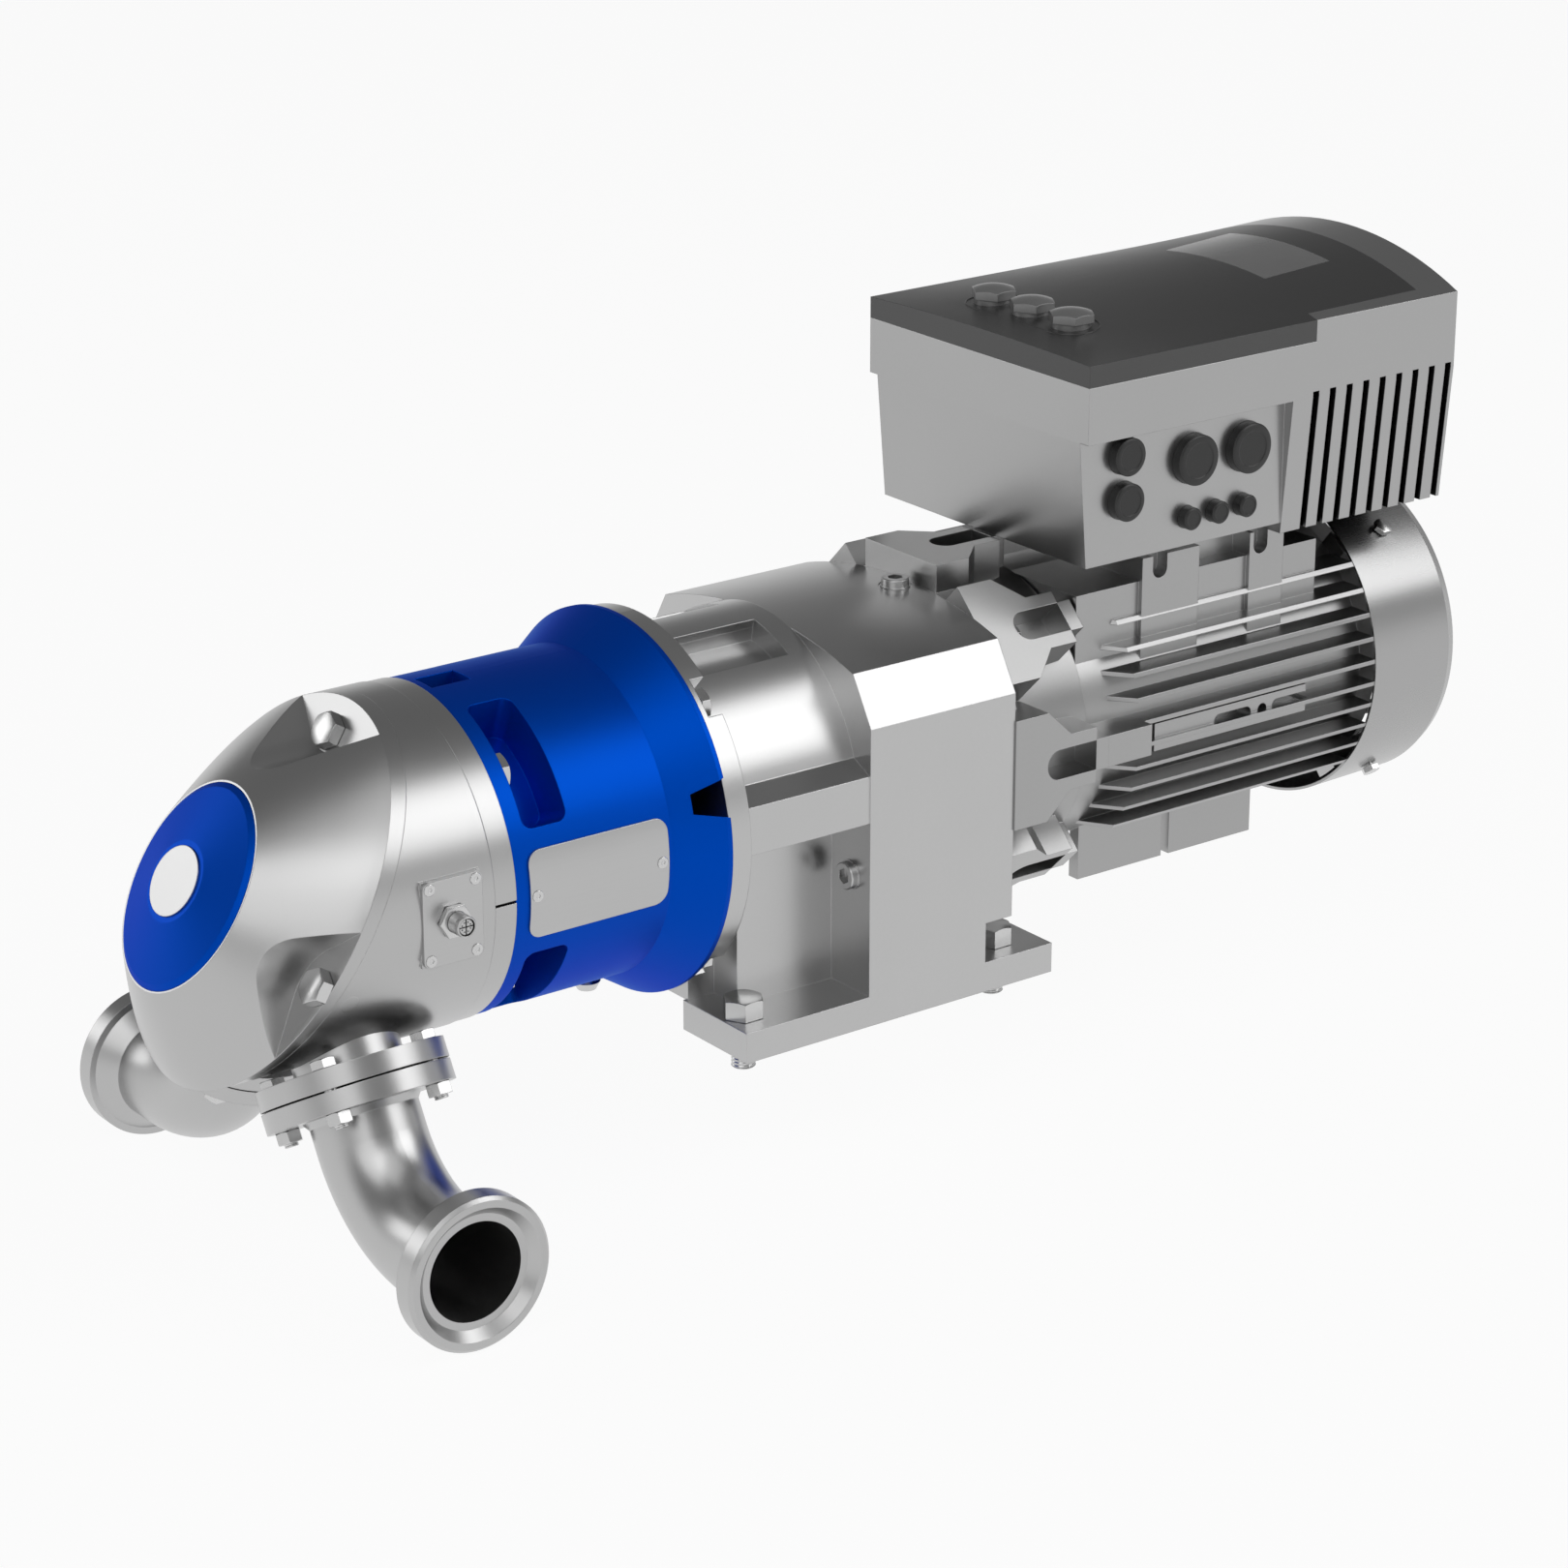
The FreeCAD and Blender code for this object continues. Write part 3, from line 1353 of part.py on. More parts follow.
def port_joint():
    """Gaskets, bolts and nuts of the two flange joints."""
    gasket = ring("gasket", size.port_bolt_circle - size.port_bolt_radius, size.pipe_radius,
                  size.gasket_thickness, (0, 0, port_seam), "z")
    near = on_port(group("gasket_place", [gasket]))
    node("port_gaskets", group("gaskets", [near, mirrored("far_gasket", near, "y")]))
    nut_seat = elbow_seat + size.port_flange_thickness
    tip = nut_seat + size.port_nut_height + size.port_bolt_tip
    heads = port_rods("port_head", None, size.port_flange_seat - size.port_bolt_head,
                      size.port_bolt_head, size.port_bolt_flats)
    shanks = port_rods("port_shank", size.port_bolt_radius, size.port_flange_seat,
                       tip - size.port_flange_seat)
    bolts = on_port(group("port_bolts_near", [fuse(f"port_bolt_{index}", head, shank)
                                              for index, (head, shank)
                                              in enumerate(zip(heads, shanks))]))
    node("port_flange_bolts", group("port_bolts", [bolts, mirrored("port_bolts_far", bolts, "y")]))
    blanks = port_rods("port_nut_blank", None, nut_seat, size.port_nut_height,
                       size.port_bolt_flats)
    threads = port_rods("port_nut_thread", size.port_bolt_radius, nut_seat, size.port_nut_height)
    nuts = on_port(group("port_nuts_near", [cut(f"port_nut_{index}", blank, thread)
                                            for index, (blank, thread)
                                            in enumerate(zip(blanks, threads))]))
    node("port_flange_nuts", group("port_nuts", [nuts, mirrored("port_nuts_far", nuts, "y")]))


def jaws(name, start, length, first):
    """Three coupling jaws, the first centred at an angle above low y."""
    pieces = []
    for index in range(3):
        pieces.append(sector(f"{name}_{index}", size.pump_shaft_radius + size.coupling_gap,
                             size.coupling_radius,
                             first + size.coupling_jaw_pitch * index + size.coupling_jaw_angle / 2,
                             size.coupling_jaw_angle, (start, 0, shaft_z), length))
    return pieces


def jaw_coupling():
    jaw_start = coupling_front + size.coupling_hub_length
    rear_start = jaw_start + size.coupling_jaw_length
    reach = size.coupling_jaw_length - size.coupling_gap
    front = ring("front_hub", size.coupling_radius, size.pump_shaft_radius,
                 size.coupling_hub_length, (coupling_front, 0, shaft_z))
    rear = ring("rear_hub", size.coupling_radius, size.output_shaft_radius,
                size.coupling_hub_length, (rear_start, 0, shaft_z))
    front_jaws = jaws("front_jaw", jaw_start, reach, 0)
    rear_jaws = jaws("rear_jaw", jaw_start + size.coupling_gap, reach,
                     size.coupling_jaw_pitch / 2)
    node("coupling_hub_pump", fuse("front_half", front, *front_jaws))
    node("coupling_hub_gearbox", fuse("rear_half", rear, *rear_jaws))
    star = rod("star_blank", size.coupling_radius - size.coupling_gap / 2,
               reach - size.coupling_gap, (jaw_start + size.coupling_gap, 0, shaft_z))
    node("coupling_spider", cut("star", star, *front_jaws, *rear_jaws))


# Gearbox: interior stations from the mounting ring.
output_gear_x = ring_x + size.output_gear_setback
input_gear_x = ring_x + size.input_gear_setback
gear_centre = size.gear_module * (size.gear_teeth + size.pinion_teeth) / 2
lay_z = shaft_z - gear_centre
front_wall_x = gearbox_x + size.gearbox_wall
rear_wall_x = adapter_x - size.gearbox_rear_wall
foot_x = ring_x + size.ring_to_foot
foot_inner = size.foot_span / 2 - size.foot_width
neck_start = ring_x + size.ring_length
neck_length = size.gearbox_setback - size.ring_length


def foot_bolt_rods(name, radius, start, length):
    return [rod(f"{name}_{side}_{end}", radius, length,
                (size.foot_bolt_pitch_x * end / 2, size.foot_bolt_pitch_y * side / 2, start), "z")
            for side in (-1, 1) for end in (-1, 1)]


def housing_block():
    half = size.gearbox_width / 2
    walls = padded("gear_walls", "YZ_Plane", [
        (-half, size.foot_thickness),
        (half, size.foot_thickness),
        (half, shaft_z + size.gearbox_shoulder),
        (size.gearbox_chamfer_y, shaft_z + size.gearbox_chamfer_z),
        (size.gearbox_chamfer_y, shaft_z + size.gearbox_top),
        (-size.gearbox_chamfer_y, shaft_z + size.gearbox_top),
        (-size.gearbox_chamfer_y, shaft_z + size.gearbox_chamfer_z),
        (-half, shaft_z + size.gearbox_shoulder),
    ], size.gearbox_length, (gearbox_x, 0, 0))
    dome = rod("gear_dome", size.gearbox_dome_radius, size.gearbox_length,
               (gearbox_x, 0, shaft_z + size.gearbox_top - size.gearbox_dome_radius))
    return common("gear_block", walls, dome)


def housing_neck():
    barrel = rod("neck_barrel", size.neck_radius, neck_length, (neck_start, 0, shaft_z))
    below = box("neck_below", (neck_length, size.neck_radius * 2, size.neck_radius),
                (neck_start, -size.neck_radius, shaft_z - size.neck_radius - size.neck_beam_low))
    web_x = ring_x + size.neck_web_setback
    beam_inner = root(size.neck_radius * size.neck_radius
                      - size.neck_beam_top * size.neck_beam_top) - CLEAR
    web = box("neck_web", (gearbox_x - web_x, size.neck_web_half * 2,
                           shaft_z - size.neck_beam_low - size.foot_thickness),
              (web_x, -size.neck_web_half, size.foot_thickness))
    throat = box("neck_throat", (web_x - neck_start, size.arch_half * 2,
                                 shaft_z - size.neck_beam_low - size.foot_thickness),
                 (neck_start, -size.arch_half, size.foot_thickness))
    beam = padded("neck_beam", "YZ_Plane", [
        (-size.neck_beam_half, -size.neck_beam_low),
        (size.neck_beam_half, -size.neck_beam_low),
        (size.neck_beam_half, size.neck_beam_high),
        (beam_inner, size.neck_beam_top),
        (-beam_inner, size.neck_beam_top),
        (-size.neck_beam_half, size.neck_beam_high),
    ], neck_length, (neck_start, 0, shaft_z))
    rib = box("neck_rib", (neck_length, size.neck_rib_half * 2, size.neck_rib_top),
              (neck_start, -size.neck_rib_half, shaft_z))
    grooves = [sector("neck_groove", size.neck_groove_floor, size.neck_rib_top,
                      size.neck_groove_start + size.neck_groove_angle, size.neck_groove_angle,
                      (neck_start, 0, shaft_z), size.neck_groove_length)]
    grooves.append(mirrored("neck_groove_far", grooves[0], "y"))
    upper = cut("neck_upper", barrel, below, *grooves)
    return [upper, web, throat, beam, rib]


def gearbox_housing():
    feet = [box(name, (size.foot_length, size.foot_width, size.foot_thickness), (foot_x, low, 0))
            for name, low in (("near_foot", -(foot_inner + size.foot_width)),
                              ("far_foot", foot_inner))]
    floor = box("gear_floor", (size.gearbox_length, foot_inner * 2, size.foot_thickness / 2),
                (gearbox_x, -foot_inner, size.foot_thickness / 2))
    solid = fuse("gear_solid", housing_block(), *housing_neck(), *feet, floor)
    heels = [box(name, (size.gearbox_heel_length, size.gearbox_heel_depth,
                        size.gearbox_heel_height),
                 (adapter_x - size.gearbox_heel_length, low, size.foot_thickness))
             for name, low in (("near_heel", -size.gearbox_width / 2),
                               ("far_heel", size.gearbox_width / 2 - size.gearbox_heel_depth))]
    inner_half = size.gearbox_width / 2 - size.gearbox_wall
    cavity = box("gear_cavity", (rear_wall_x - front_wall_x, inner_half * 2,
                                 shaft_z + size.gearbox_shoulder - size.gearbox_wall
                                 - size.gearbox_heel_height - size.foot_thickness),
                 (front_wall_x, -inner_half, size.gearbox_heel_height + size.foot_thickness))
    bore = rod("output_bore", size.gear_bearing_outer, front_wall_x - neck_start,
               (neck_start, 0, shaft_z))
    pinion_hole = rod("pinion_hole", size.pinion_hole_radius, size.gearbox_rear_wall,
                      (rear_wall_x, 0, shaft_z))
    pockets = [rod(name, size.small_bearing_outer, size.gear_bearing_width, (start, 0, lay_z))
               for name, start in (("front_lay_pocket", front_wall_x - size.gear_bearing_width),
                                   ("rear_lay_pocket", rear_wall_x))]
    vent = rod("vent_hole", size.vent_radius, size.gearbox_wall + size.vent_radius,
               (ring_x + size.vent_setback, -size.vent_offset,
                vent_seat - size.gearbox_wall - size.vent_radius), "z")
    drain = rod("drain_hole", size.drain_radius, size.gearbox_wall,
                (gearbox_x, -size.drain_offset, shaft_z - size.drain_drop))
    adapter_threads = adapter_bolt_rods("adapter_thread", size.adapter_bolt_radius,
                                        adapter_x - size.adapter_bolt_thread,
                                        size.adapter_bolt_thread)
    sump = box("gear_sump", (rear_wall_x - front_wall_x, foot_inner * 2,
                             size.gearbox_heel_height),
               (front_wall_x, -foot_inner, size.foot_thickness + size.sump_floor))
    spot = rod("vent_spot", size.vent_collar_radius + CLEAR, size.vent_height,
               (ring_x + size.vent_setback, -size.vent_offset, vent_seat), "z")
    node("gearbox_housing", cut("gear_housing", solid, *heels, cavity, sump, bore, pinion_hole,
                                *pockets, vent, spot, drain, *adapter_threads,
                                *foot_bolt_rods("foot_hole", size.foot_bolt_radius
                                                + size.hub_gap, 0, size.foot_thickness)))


vent_seat = (shaft_z + size.gearbox_top - size.gearbox_dome_radius
             + root(size.gearbox_dome_radius * size.gearbox_dome_radius
                    - (size.vent_offset + size.vent_collar_radius)
                    * (size.vent_offset + size.vent_collar_radius)))


def plug(name, stem, collar, collar_height, height, depth, at, along):
    """A screwed plug: collar, round head with a hexagon socket, and a stem behind."""
    back = {"x": "-x", "-x": "x", "y": "-y", "-y": "y", "z": "-z", "-z": "z"}[along]
    washer = rod(f"{name}_collar", collar, collar_height, at, along)
    head = rod(f"{name}_head", stem, height, at, along)
    shank = rod(f"{name}_stem", stem, depth, at, back)
    wrench = hexagon(f"{name}_wrench", size.plug_hex_flats, height * 2, at, along)
    return cut(name, fuse(f"{name}_body", washer, head, shank), wrench)


def gearbox_plugs():
    vent_at = (ring_x + size.vent_setback, -size.vent_offset, vent_seat)
    drain_at = (gearbox_x, -size.drain_offset, shaft_z - size.drain_drop)
    node("vent_plug", plug("vent", size.vent_radius, size.vent_collar_radius,
                           size.vent_collar_height, size.vent_height, size.gearbox_wall,
                           vent_at, "z"))
    node("gearbox_drain_plug", plug("drain", size.drain_radius, size.drain_collar_radius,
                                    size.drain_collar_height, size.drain_height,
                                    size.gearbox_wall, drain_at, "-x"))


def foot_bolts():
    seat = size.foot_thickness
    places = [(size.foot_bolt_pitch_x * end / 2, size.foot_bolt_pitch_y * side / 2)
              for side in (-1, 1) for end in (-1, 1)]
    bolts = [fuse(f"foot_bolt_{index}",
                  bolt(f"foot_bolt_top_{index}", size.foot_bolt_flats, size.foot_bolt_head,
                       size.foot_bolt_grip, seat, (x, y, seat), "z"),
                  rod(f"foot_stud_{index}", size.foot_bolt_radius, size.foot_bolt_stud,
                      (x, y, -size.foot_bolt_stud), "z"))
             for index, (x, y) in enumerate(places)]
    node("foot_bolts", group("foot_bolt_set", bolts))


def involute(angle):
    return math.tan(angle) - angle


def gear(name, teeth, bore, at, first):
    """A spur gear with straight-run involute flanks, one tooth centred at an angle."""
    module = float(size.gear_module)
    number = int(float(teeth))
    pitch = module * number / 2
    pressure = math.radians(float(size.gear_pressure_angle))
    base = pitch * math.cos(pressure)
    tip = pitch + module
    floor = pitch - float(size.gear_root_share) * module
    slack = float(size.gear_backlash) / 2 / pitch
    half = math.pi / 2 / number + involute(pressure) - slack
    start = max(base, floor)
    radii = [start + (tip - start) * step / 4 for step in range(5)]
    flank = [(radius, half - involute(math.acos(base / radius))) for radius in radii]
    profile = [(floor, flank[0][1])] + flank
    corners = []
    for tooth in range(number):
        middle = math.radians(first) + 2 * math.pi * tooth / number
        for radius, away in profile:
            corners.append(Vector(0, radius * math.cos(middle - away),
                                  radius * math.sin(middle - away)))
        for radius, away in reversed(profile):
            corners.append(Vector(0, radius * math.cos(middle + away),
                                  radius * math.sin(middle + away)))
    face = Part.Face(Part.makePolygon(corners + corners[:1]))
    blank = doc.addObject("Part::Feature", f"{name}_teeth")
    blank.Shape = face.extrude(Vector(float(size.gear_width), 0, 0))
    place(blank, at)
    return cut(name, blank, rod(f"{name}_bore", bore, size.gear_width, at))


def gear_train():
    up = 90
    down = -90
    half_pitch = 180 / float(size.pinion_teeth)
    shaft_start = coupling_front + size.coupling_hub_length + size.coupling_jaw_length
    node("output_shaft", rod("output_bar", size.output_shaft_radius,
                             output_gear_x + size.gear_width - shaft_start,
                             (shaft_start, 0, shaft_z)))
    node("output_gear", gear("large_output_gear", size.gear_teeth, size.output_shaft_radius,
                             (output_gear_x, 0, shaft_z), down))
    lay_start = front_wall_x - size.gear_bearing_width
    lay_length = rear_wall_x + size.gear_bearing_width - lay_start
    bar = rod("lay_bar", size.intermediate_radius, lay_length, (lay_start, 0, lay_z))
    pinion = gear("lay_pinion", size.pinion_teeth, size.intermediate_radius,
                  (output_gear_x, 0, lay_z), up + half_pitch)
    node("intermediate_shaft", fuse("lay_shaft", bar, pinion))
    node("intermediate_gear", gear("lay_gear", size.gear_teeth, size.intermediate_radius,
                                   (input_gear_x, 0, lay_z), up))
    pinion = gear("drive_pinion", size.pinion_teeth, size.motor_shaft_radius,
                  (input_gear_x, 0, shaft_z), down + half_pitch)
    bar = rod("motor_bar", size.motor_shaft_radius,
              fan_x + size.fan_setback + size.fan_width - input_gear_x,
              (input_gear_x, 0, shaft_z))
    node("motor_shaft", fuse("motor_shaft_solid", bar, pinion))


def gearbox_bearings():
    rings = [
        bearing("output_bearing_front", size.gear_bearing_outer, size.output_shaft_radius,
                size.gear_bearing_width, neck_start, shaft_z),
        bearing("output_bearing_rear", size.gear_bearing_outer, size.output_shaft_radius,
                size.gear_bearing_width, front_wall_x - size.gear_bearing_width, shaft_z),
        bearing("lay_bearing_front", size.small_bearing_outer, size.intermediate_radius,
                size.gear_bearing_width, front_wall_x - size.gear_bearing_width, lay_z),
        bearing("lay_bearing_rear", size.small_bearing_outer, size.intermediate_radius,
                size.gear_bearing_width, rear_wall_x, lay_z),
    ]
    node("gearbox_bearings", group("gear_bearing_set", rings))
    node("output_seal", ring("output_seal_ring", size.output_seal_radius,
                             size.output_shaft_radius + size.running_gap, size.seal_width,
                             (ring_x, 0, shaft_z)))


def adapter_bolt_places():
    return [around(size.adapter_bolt_circle, 90 * index + size.adapter_bolt_place) for index in range(4)]


def adapter_bolt_rods(name, radius, start, length):
    """Rods at the four bolts that sit in the slots of the slanting lugs."""
    return [rod(f"{name}_{index}", radius, length, (start, y, z))
            for index, (y, z) in enumerate(adapter_bolt_places())]


def lug(index):
    """One lug of the adapter, wide at the front, with a slot that has a round front end."""
    wide = size.lug_width / 2
    narrow = size.lug_tail_width / 2
    tongue = size.lug_tongue_width / 2
    plate = padded(f"lug_{index}", "XY_Plane", [
        (0, -wide),
        (size.lug_front_length, -wide),
        (size.lug_shoulder, -narrow),
        (size.lug_length, -narrow),
        (size.lug_length, -tongue),
        (size.adapter_length, -tongue),
        (size.adapter_length, tongue),
        (size.lug_length, tongue),
        (size.lug_length, narrow),
        (size.lug_shoulder, narrow),
        (size.lug_front_length, wide),
        (0, wide),
    ], size.lug_reach - size.adapter_core_radius, (0, 0, size.adapter_core_radius))
    block = box(f"lug_block_{index}",
                (size.lug_length - size.lug_slot_start, size.lug_slot_width,
                 size.lug_reach - size.adapter_rear_radius),
                (size.lug_slot_start, -size.lug_slot_width / 2, size.adapter_rear_radius))
    front_end = size.lug_slot_start.value + 1
    gap = rounded(f"lug_gap_{index}", block, size.lug_slot_width / 2 - size.hub_gap, (0, 0, 1),
                  lambda middle: middle.x < front_end)
    turn = 90 - 360 / size.lug_count * index
    return tilt(cut(f"lug_body_{index}", plate, gap), (adapter_x, 0, shaft_z), Vector(1, 0, 0),
                turn)


def motor_adapter():
    core = cone("adapter_core", size.adapter_core_radius, size.adapter_rear_radius,
                size.adapter_length, (adapter_x, 0, shaft_z))
    flange = rod("adapter_flange", size.adapter_front_radius, size.adapter_wall,
                 (adapter_x, 0, shaft_z))
    lugs = [lug(index) for index in range(count("lug_count"))]
    hollow = rod("adapter_hollow", size.adapter_bore_radius, size.adapter_length
                 - size.motor_bearing_width, (adapter_x, 0, shaft_z))
    pocket_hole = rod("adapter_pocket", size.motor_bearing_outer, size.motor_bearing_width,
                      (motor_x - size.motor_bearing_width, 0, shaft_z))
    seat = adapter_x + size.lug_slot_start
    holes = adapter_bolt_rods("adapter_hole", size.adapter_bolt_radius, adapter_x,
                              size.lug_slot_start)
    spots = adapter_bolt_rods("adapter_spot", size.adapter_spot_radius, seat,
                              size.adapter_spot_depth)
    node("motor_adapter", cut("adapter", fuse("adapter_solid", core, flange, *lugs), hollow,
                              pocket_hole, *holes, *spots))
    bolts = [bolt(f"adapter_bolt_{index}", size.adapter_bolt_flats, size.adapter_bolt_head,
                  size.adapter_bolt_radius, size.lug_slot_start + size.adapter_bolt_thread,
                  (seat, y, z), "x")
             for index, (y, z) in enumerate(adapter_bolt_places())]
    node("adapter_bolts", group("adapter_bolt_set", bolts))


def motor_fins():
    """Level fins on both sides, trimmed to a barrel whose front end tapers."""
    fins_x = motor_x + size.fin_front_gap
    length = size.motor_length - size.fin_front_gap
    fins = [box(f"fin_{index}", (length, size.fin_tip_radius * 2, size.fin_thickness),
                (fins_x, -size.fin_tip_radius,
                 shaft_z + size.fin_highest - size.fin_pitch * index - size.fin_thickness / 2))
            for index in range(count("fin_count"))]
    taper = cone("fin_taper", size.motor_body_radius, size.fin_tip_radius, size.fin_point,
                 (fins_x, 0, shaft_z))
    barrel = rod("fin_barrel", size.fin_tip_radius, length - size.fin_point,
                 (fins_x + size.fin_point, 0, shaft_z))
    return common("fins", group("fin_blanks", fins), fuse("fin_room", taper, barrel))


def motor_frame():
    tube = rod("motor_tube", size.motor_body_radius, size.motor_length, (motor_x, 0, shaft_z))
    pad_z = shaft_z + size.motor_pad_drop - size.motor_pad_height / 2
    pads = [box(name, (size.motor_pad_length, size.motor_pad_face, size.motor_pad_height),
                (motor_x + size.motor_pad_setback, low, pad_z))
            for name, low in (("near_pad", -size.motor_pad_face), ("far_pad", dim(0)))]
    deck = [box("motor_deck", (size.motor_deck_length, size.motor_deck_half * 2,
                               size.motor_deck_top),
                (ring_x + size.motor_deck_start, -size.motor_deck_half, shaft_z)),
            box("motor_saddle", (size.second_post + size.second_post_length - size.first_post,
                                 size.motor_saddle_half * 2, size.motor_post_top),
                (ring_x + size.first_post, -size.motor_saddle_half, shaft_z))]
    notches = []
    for name, start, length, notch in (
            ("first", size.first_post, size.first_post_length, size.first_notch),
            ("second", size.second_post, size.second_post_length, size.second_notch)):
        deck.append(box(f"{name}_post", (length, size.motor_post_half * 2, size.motor_post_top),
                        (ring_x + start, -size.motor_post_half, shaft_z)))
        low = shaft_z + size.notch_floor + size.post_notch_radius
        for side, face in (("near", -size.motor_post_half),
                           ("far", size.motor_post_half - size.post_notch_depth)):
            notches.append(rod(f"{name}_{side}_notch", size.post_notch_radius,
                               size.post_notch_depth, (ring_x + notch, face, low), "y"))
            notches.append(box(f"{name}_{side}_notch_top",
                               (size.post_notch_radius * 2, size.post_notch_depth,
                                size.motor_post_top),
                               (ring_x + notch - size.post_notch_radius, face, low)))
    pads += [box(name, (size.motor_lug_length, size.lug_reach, size.lug_tongue_width),
                 (motor_x, low, shaft_z - size.lug_tongue_width / 2))
             for name, low in (("near_lug", -size.lug_reach), ("far_lug", dim(0)))]
    plates = []
    for side in (-1, 1):
        for step in (0, 1):
            start = (motor_x + size.foot_pad_setback
                     + (size.foot_pad_length + size.foot_pad_gap) * step)
            plates.append(box(f"foot_plate_{side}_{step}",
                              (size.foot_pad_length, size.foot_pad_thickness,
                               size.foot_pad_drop),
                              (start, size.foot_pad_half * side - size.foot_pad_thickness / 2,
                               shaft_z - size.foot_pad_drop)))
    solid = fuse("motor_solid", tube, motor_fins(), *pads, *deck, *plates)
    bore = rod("motor_bore", size.motor_bore_radius, size.motor_length, (motor_x, 0, shaft_z))
    slots = []
    for index in range(2):
        block = box(f"pad_slot_block_{index}",
                    (size.pad_slot_length, size.motor_pad_face - size.motor_body_radius,
                     size.pad_slot_width),
                    (ring_x + size.pad_slot_start + size.pad_slot_pitch * index,
                     -size.motor_pad_face,
                     shaft_z + size.motor_pad_drop - size.pad_slot_width / 2))
        slots.append(rounded(f"pad_slot_{index}", block, size.pad_slot_corner, (0, 1, 0)))
    slots.append(rod("pad_hole", size.pad_hole_radius,
                     size.motor_pad_face - size.motor_body_radius,
                     (ring_x + size.pad_hole_station, -size.motor_body_radius,
                      shaft_z + size.motor_pad_drop), "-y"))
    node("motor_frame", cut("motor_housing", solid, bore, *slots, *notches))


def motor_inside():
    core_x = motor_x + size.core_setback
    winding = (size.winding_outer, size.winding_inner, size.winding_length)
    node("stator_core", ring("stator", size.motor_bore_radius, size.rotor_radius + size.air_gap,
                             size.core_length, (core_x, 0, shaft_z)))
    node("stator_windings", group("windings", [
        ring("winding_front", *winding, (core_x - size.winding_length, 0, shaft_z)),
        ring("winding_rear", *winding, (core_x + size.core_length, 0, shaft_z))]))
    node("rotor_core", ring("rotor", size.rotor_radius, size.motor_shaft_radius,
                            size.core_length, (core_x, 0, shaft_z)))
    node("motor_bearings", group("motor_bearing_pair", [
        bearing("motor_bearing_front", size.motor_bearing_outer, size.motor_shaft_radius,
                size.motor_bearing_width, motor_x - size.motor_bearing_width, shaft_z),
        bearing("motor_bearing_rear", size.motor_bearing_outer, size.motor_shaft_radius,
                size.motor_bearing_width, fan_x, shaft_z)]))


def rear_end_shield():
    disc = ring("shield_disc", size.motor_body_radius, size.motor_bearing_outer,
                size.motor_bearing_width, (fan_x, 0, shaft_z))
    inner = size.fan_cover_rear_radius - size.fan_cover_wall
    bosses = []
    for index, angle in enumerate(four_places(size.cover_screw_angle)):
        block = box(f"shield_boss_{index}",
                    (size.cover_screw_setback + size.cover_screw_flats, size.shield_boss_width,
                     inner - size.shield_boss_floor),
                    (0, -size.shield_boss_width / 2, size.shield_boss_floor))
        bosses.append(tilt(group(f"shield_boss_place_{index}", [block]), (fan_x, 0, shaft_z),
                           Vector(1, 0, 0), 90 - angle))
    room = rod("shield_boss_room", inner, size.fan_cover_length, (fan_x, 0, shaft_z))
    trimmed = common("shield_bosses", group("shield_boss_set", bosses), room)
    node("rear_end_shield", cut("shield", fuse("shield_solid", disc, trimmed),
                                *cover_screw_rods("shield_thread", size.shield_boss_floor,
                                                  inner - size.shield_boss_floor)))


def cover_screw_rods(name, start, length):
    """Radial rods at the four screws of the fan cover."""
    rods = []
    for index, angle in enumerate(four_places(size.cover_screw_angle)):
        pin = rod(f"{name}_{index}", size.cover_screw_radius, length, (0, 0, start), "z")
        rods.append(tilt(group(f"{name}_place_{index}", [pin]),
                         (fan_x + size.cover_screw_setback, 0, shaft_z), Vector(1, 0, 0),
                         90 - angle))
    return rods


def fan():
    start = fan_x + size.fan_setback
    hub = rod("fan_hub", size.fan_hub_radius, size.fan_width, (start, 0, shaft_z))
    disc = rod("fan_disc", size.fan_radius, size.fan_disc, (start, 0, shaft_z))
    blades = []
    for index in range(count("fan_blades")):
        blade = box(f"fan_blade_{index}", (size.fan_width, size.fan_blade_thickness,
                                           size.fan_radius),
                    (0, -size.fan_blade_thickness / 2, 0))
        blades.append(tilt(group(f"fan_blade_place_{index}", [blade]), (start, 0, shaft_z),
                           Vector(1, 0, 0), 360 / size.fan_blades * index))
    bore = rod("fan_bore", size.motor_shaft_radius, size.fan_width, (start, 0, shaft_z))
    node("cooling_fan", cut("fan", fuse("fan_solid", hub, disc, *blades), bore))


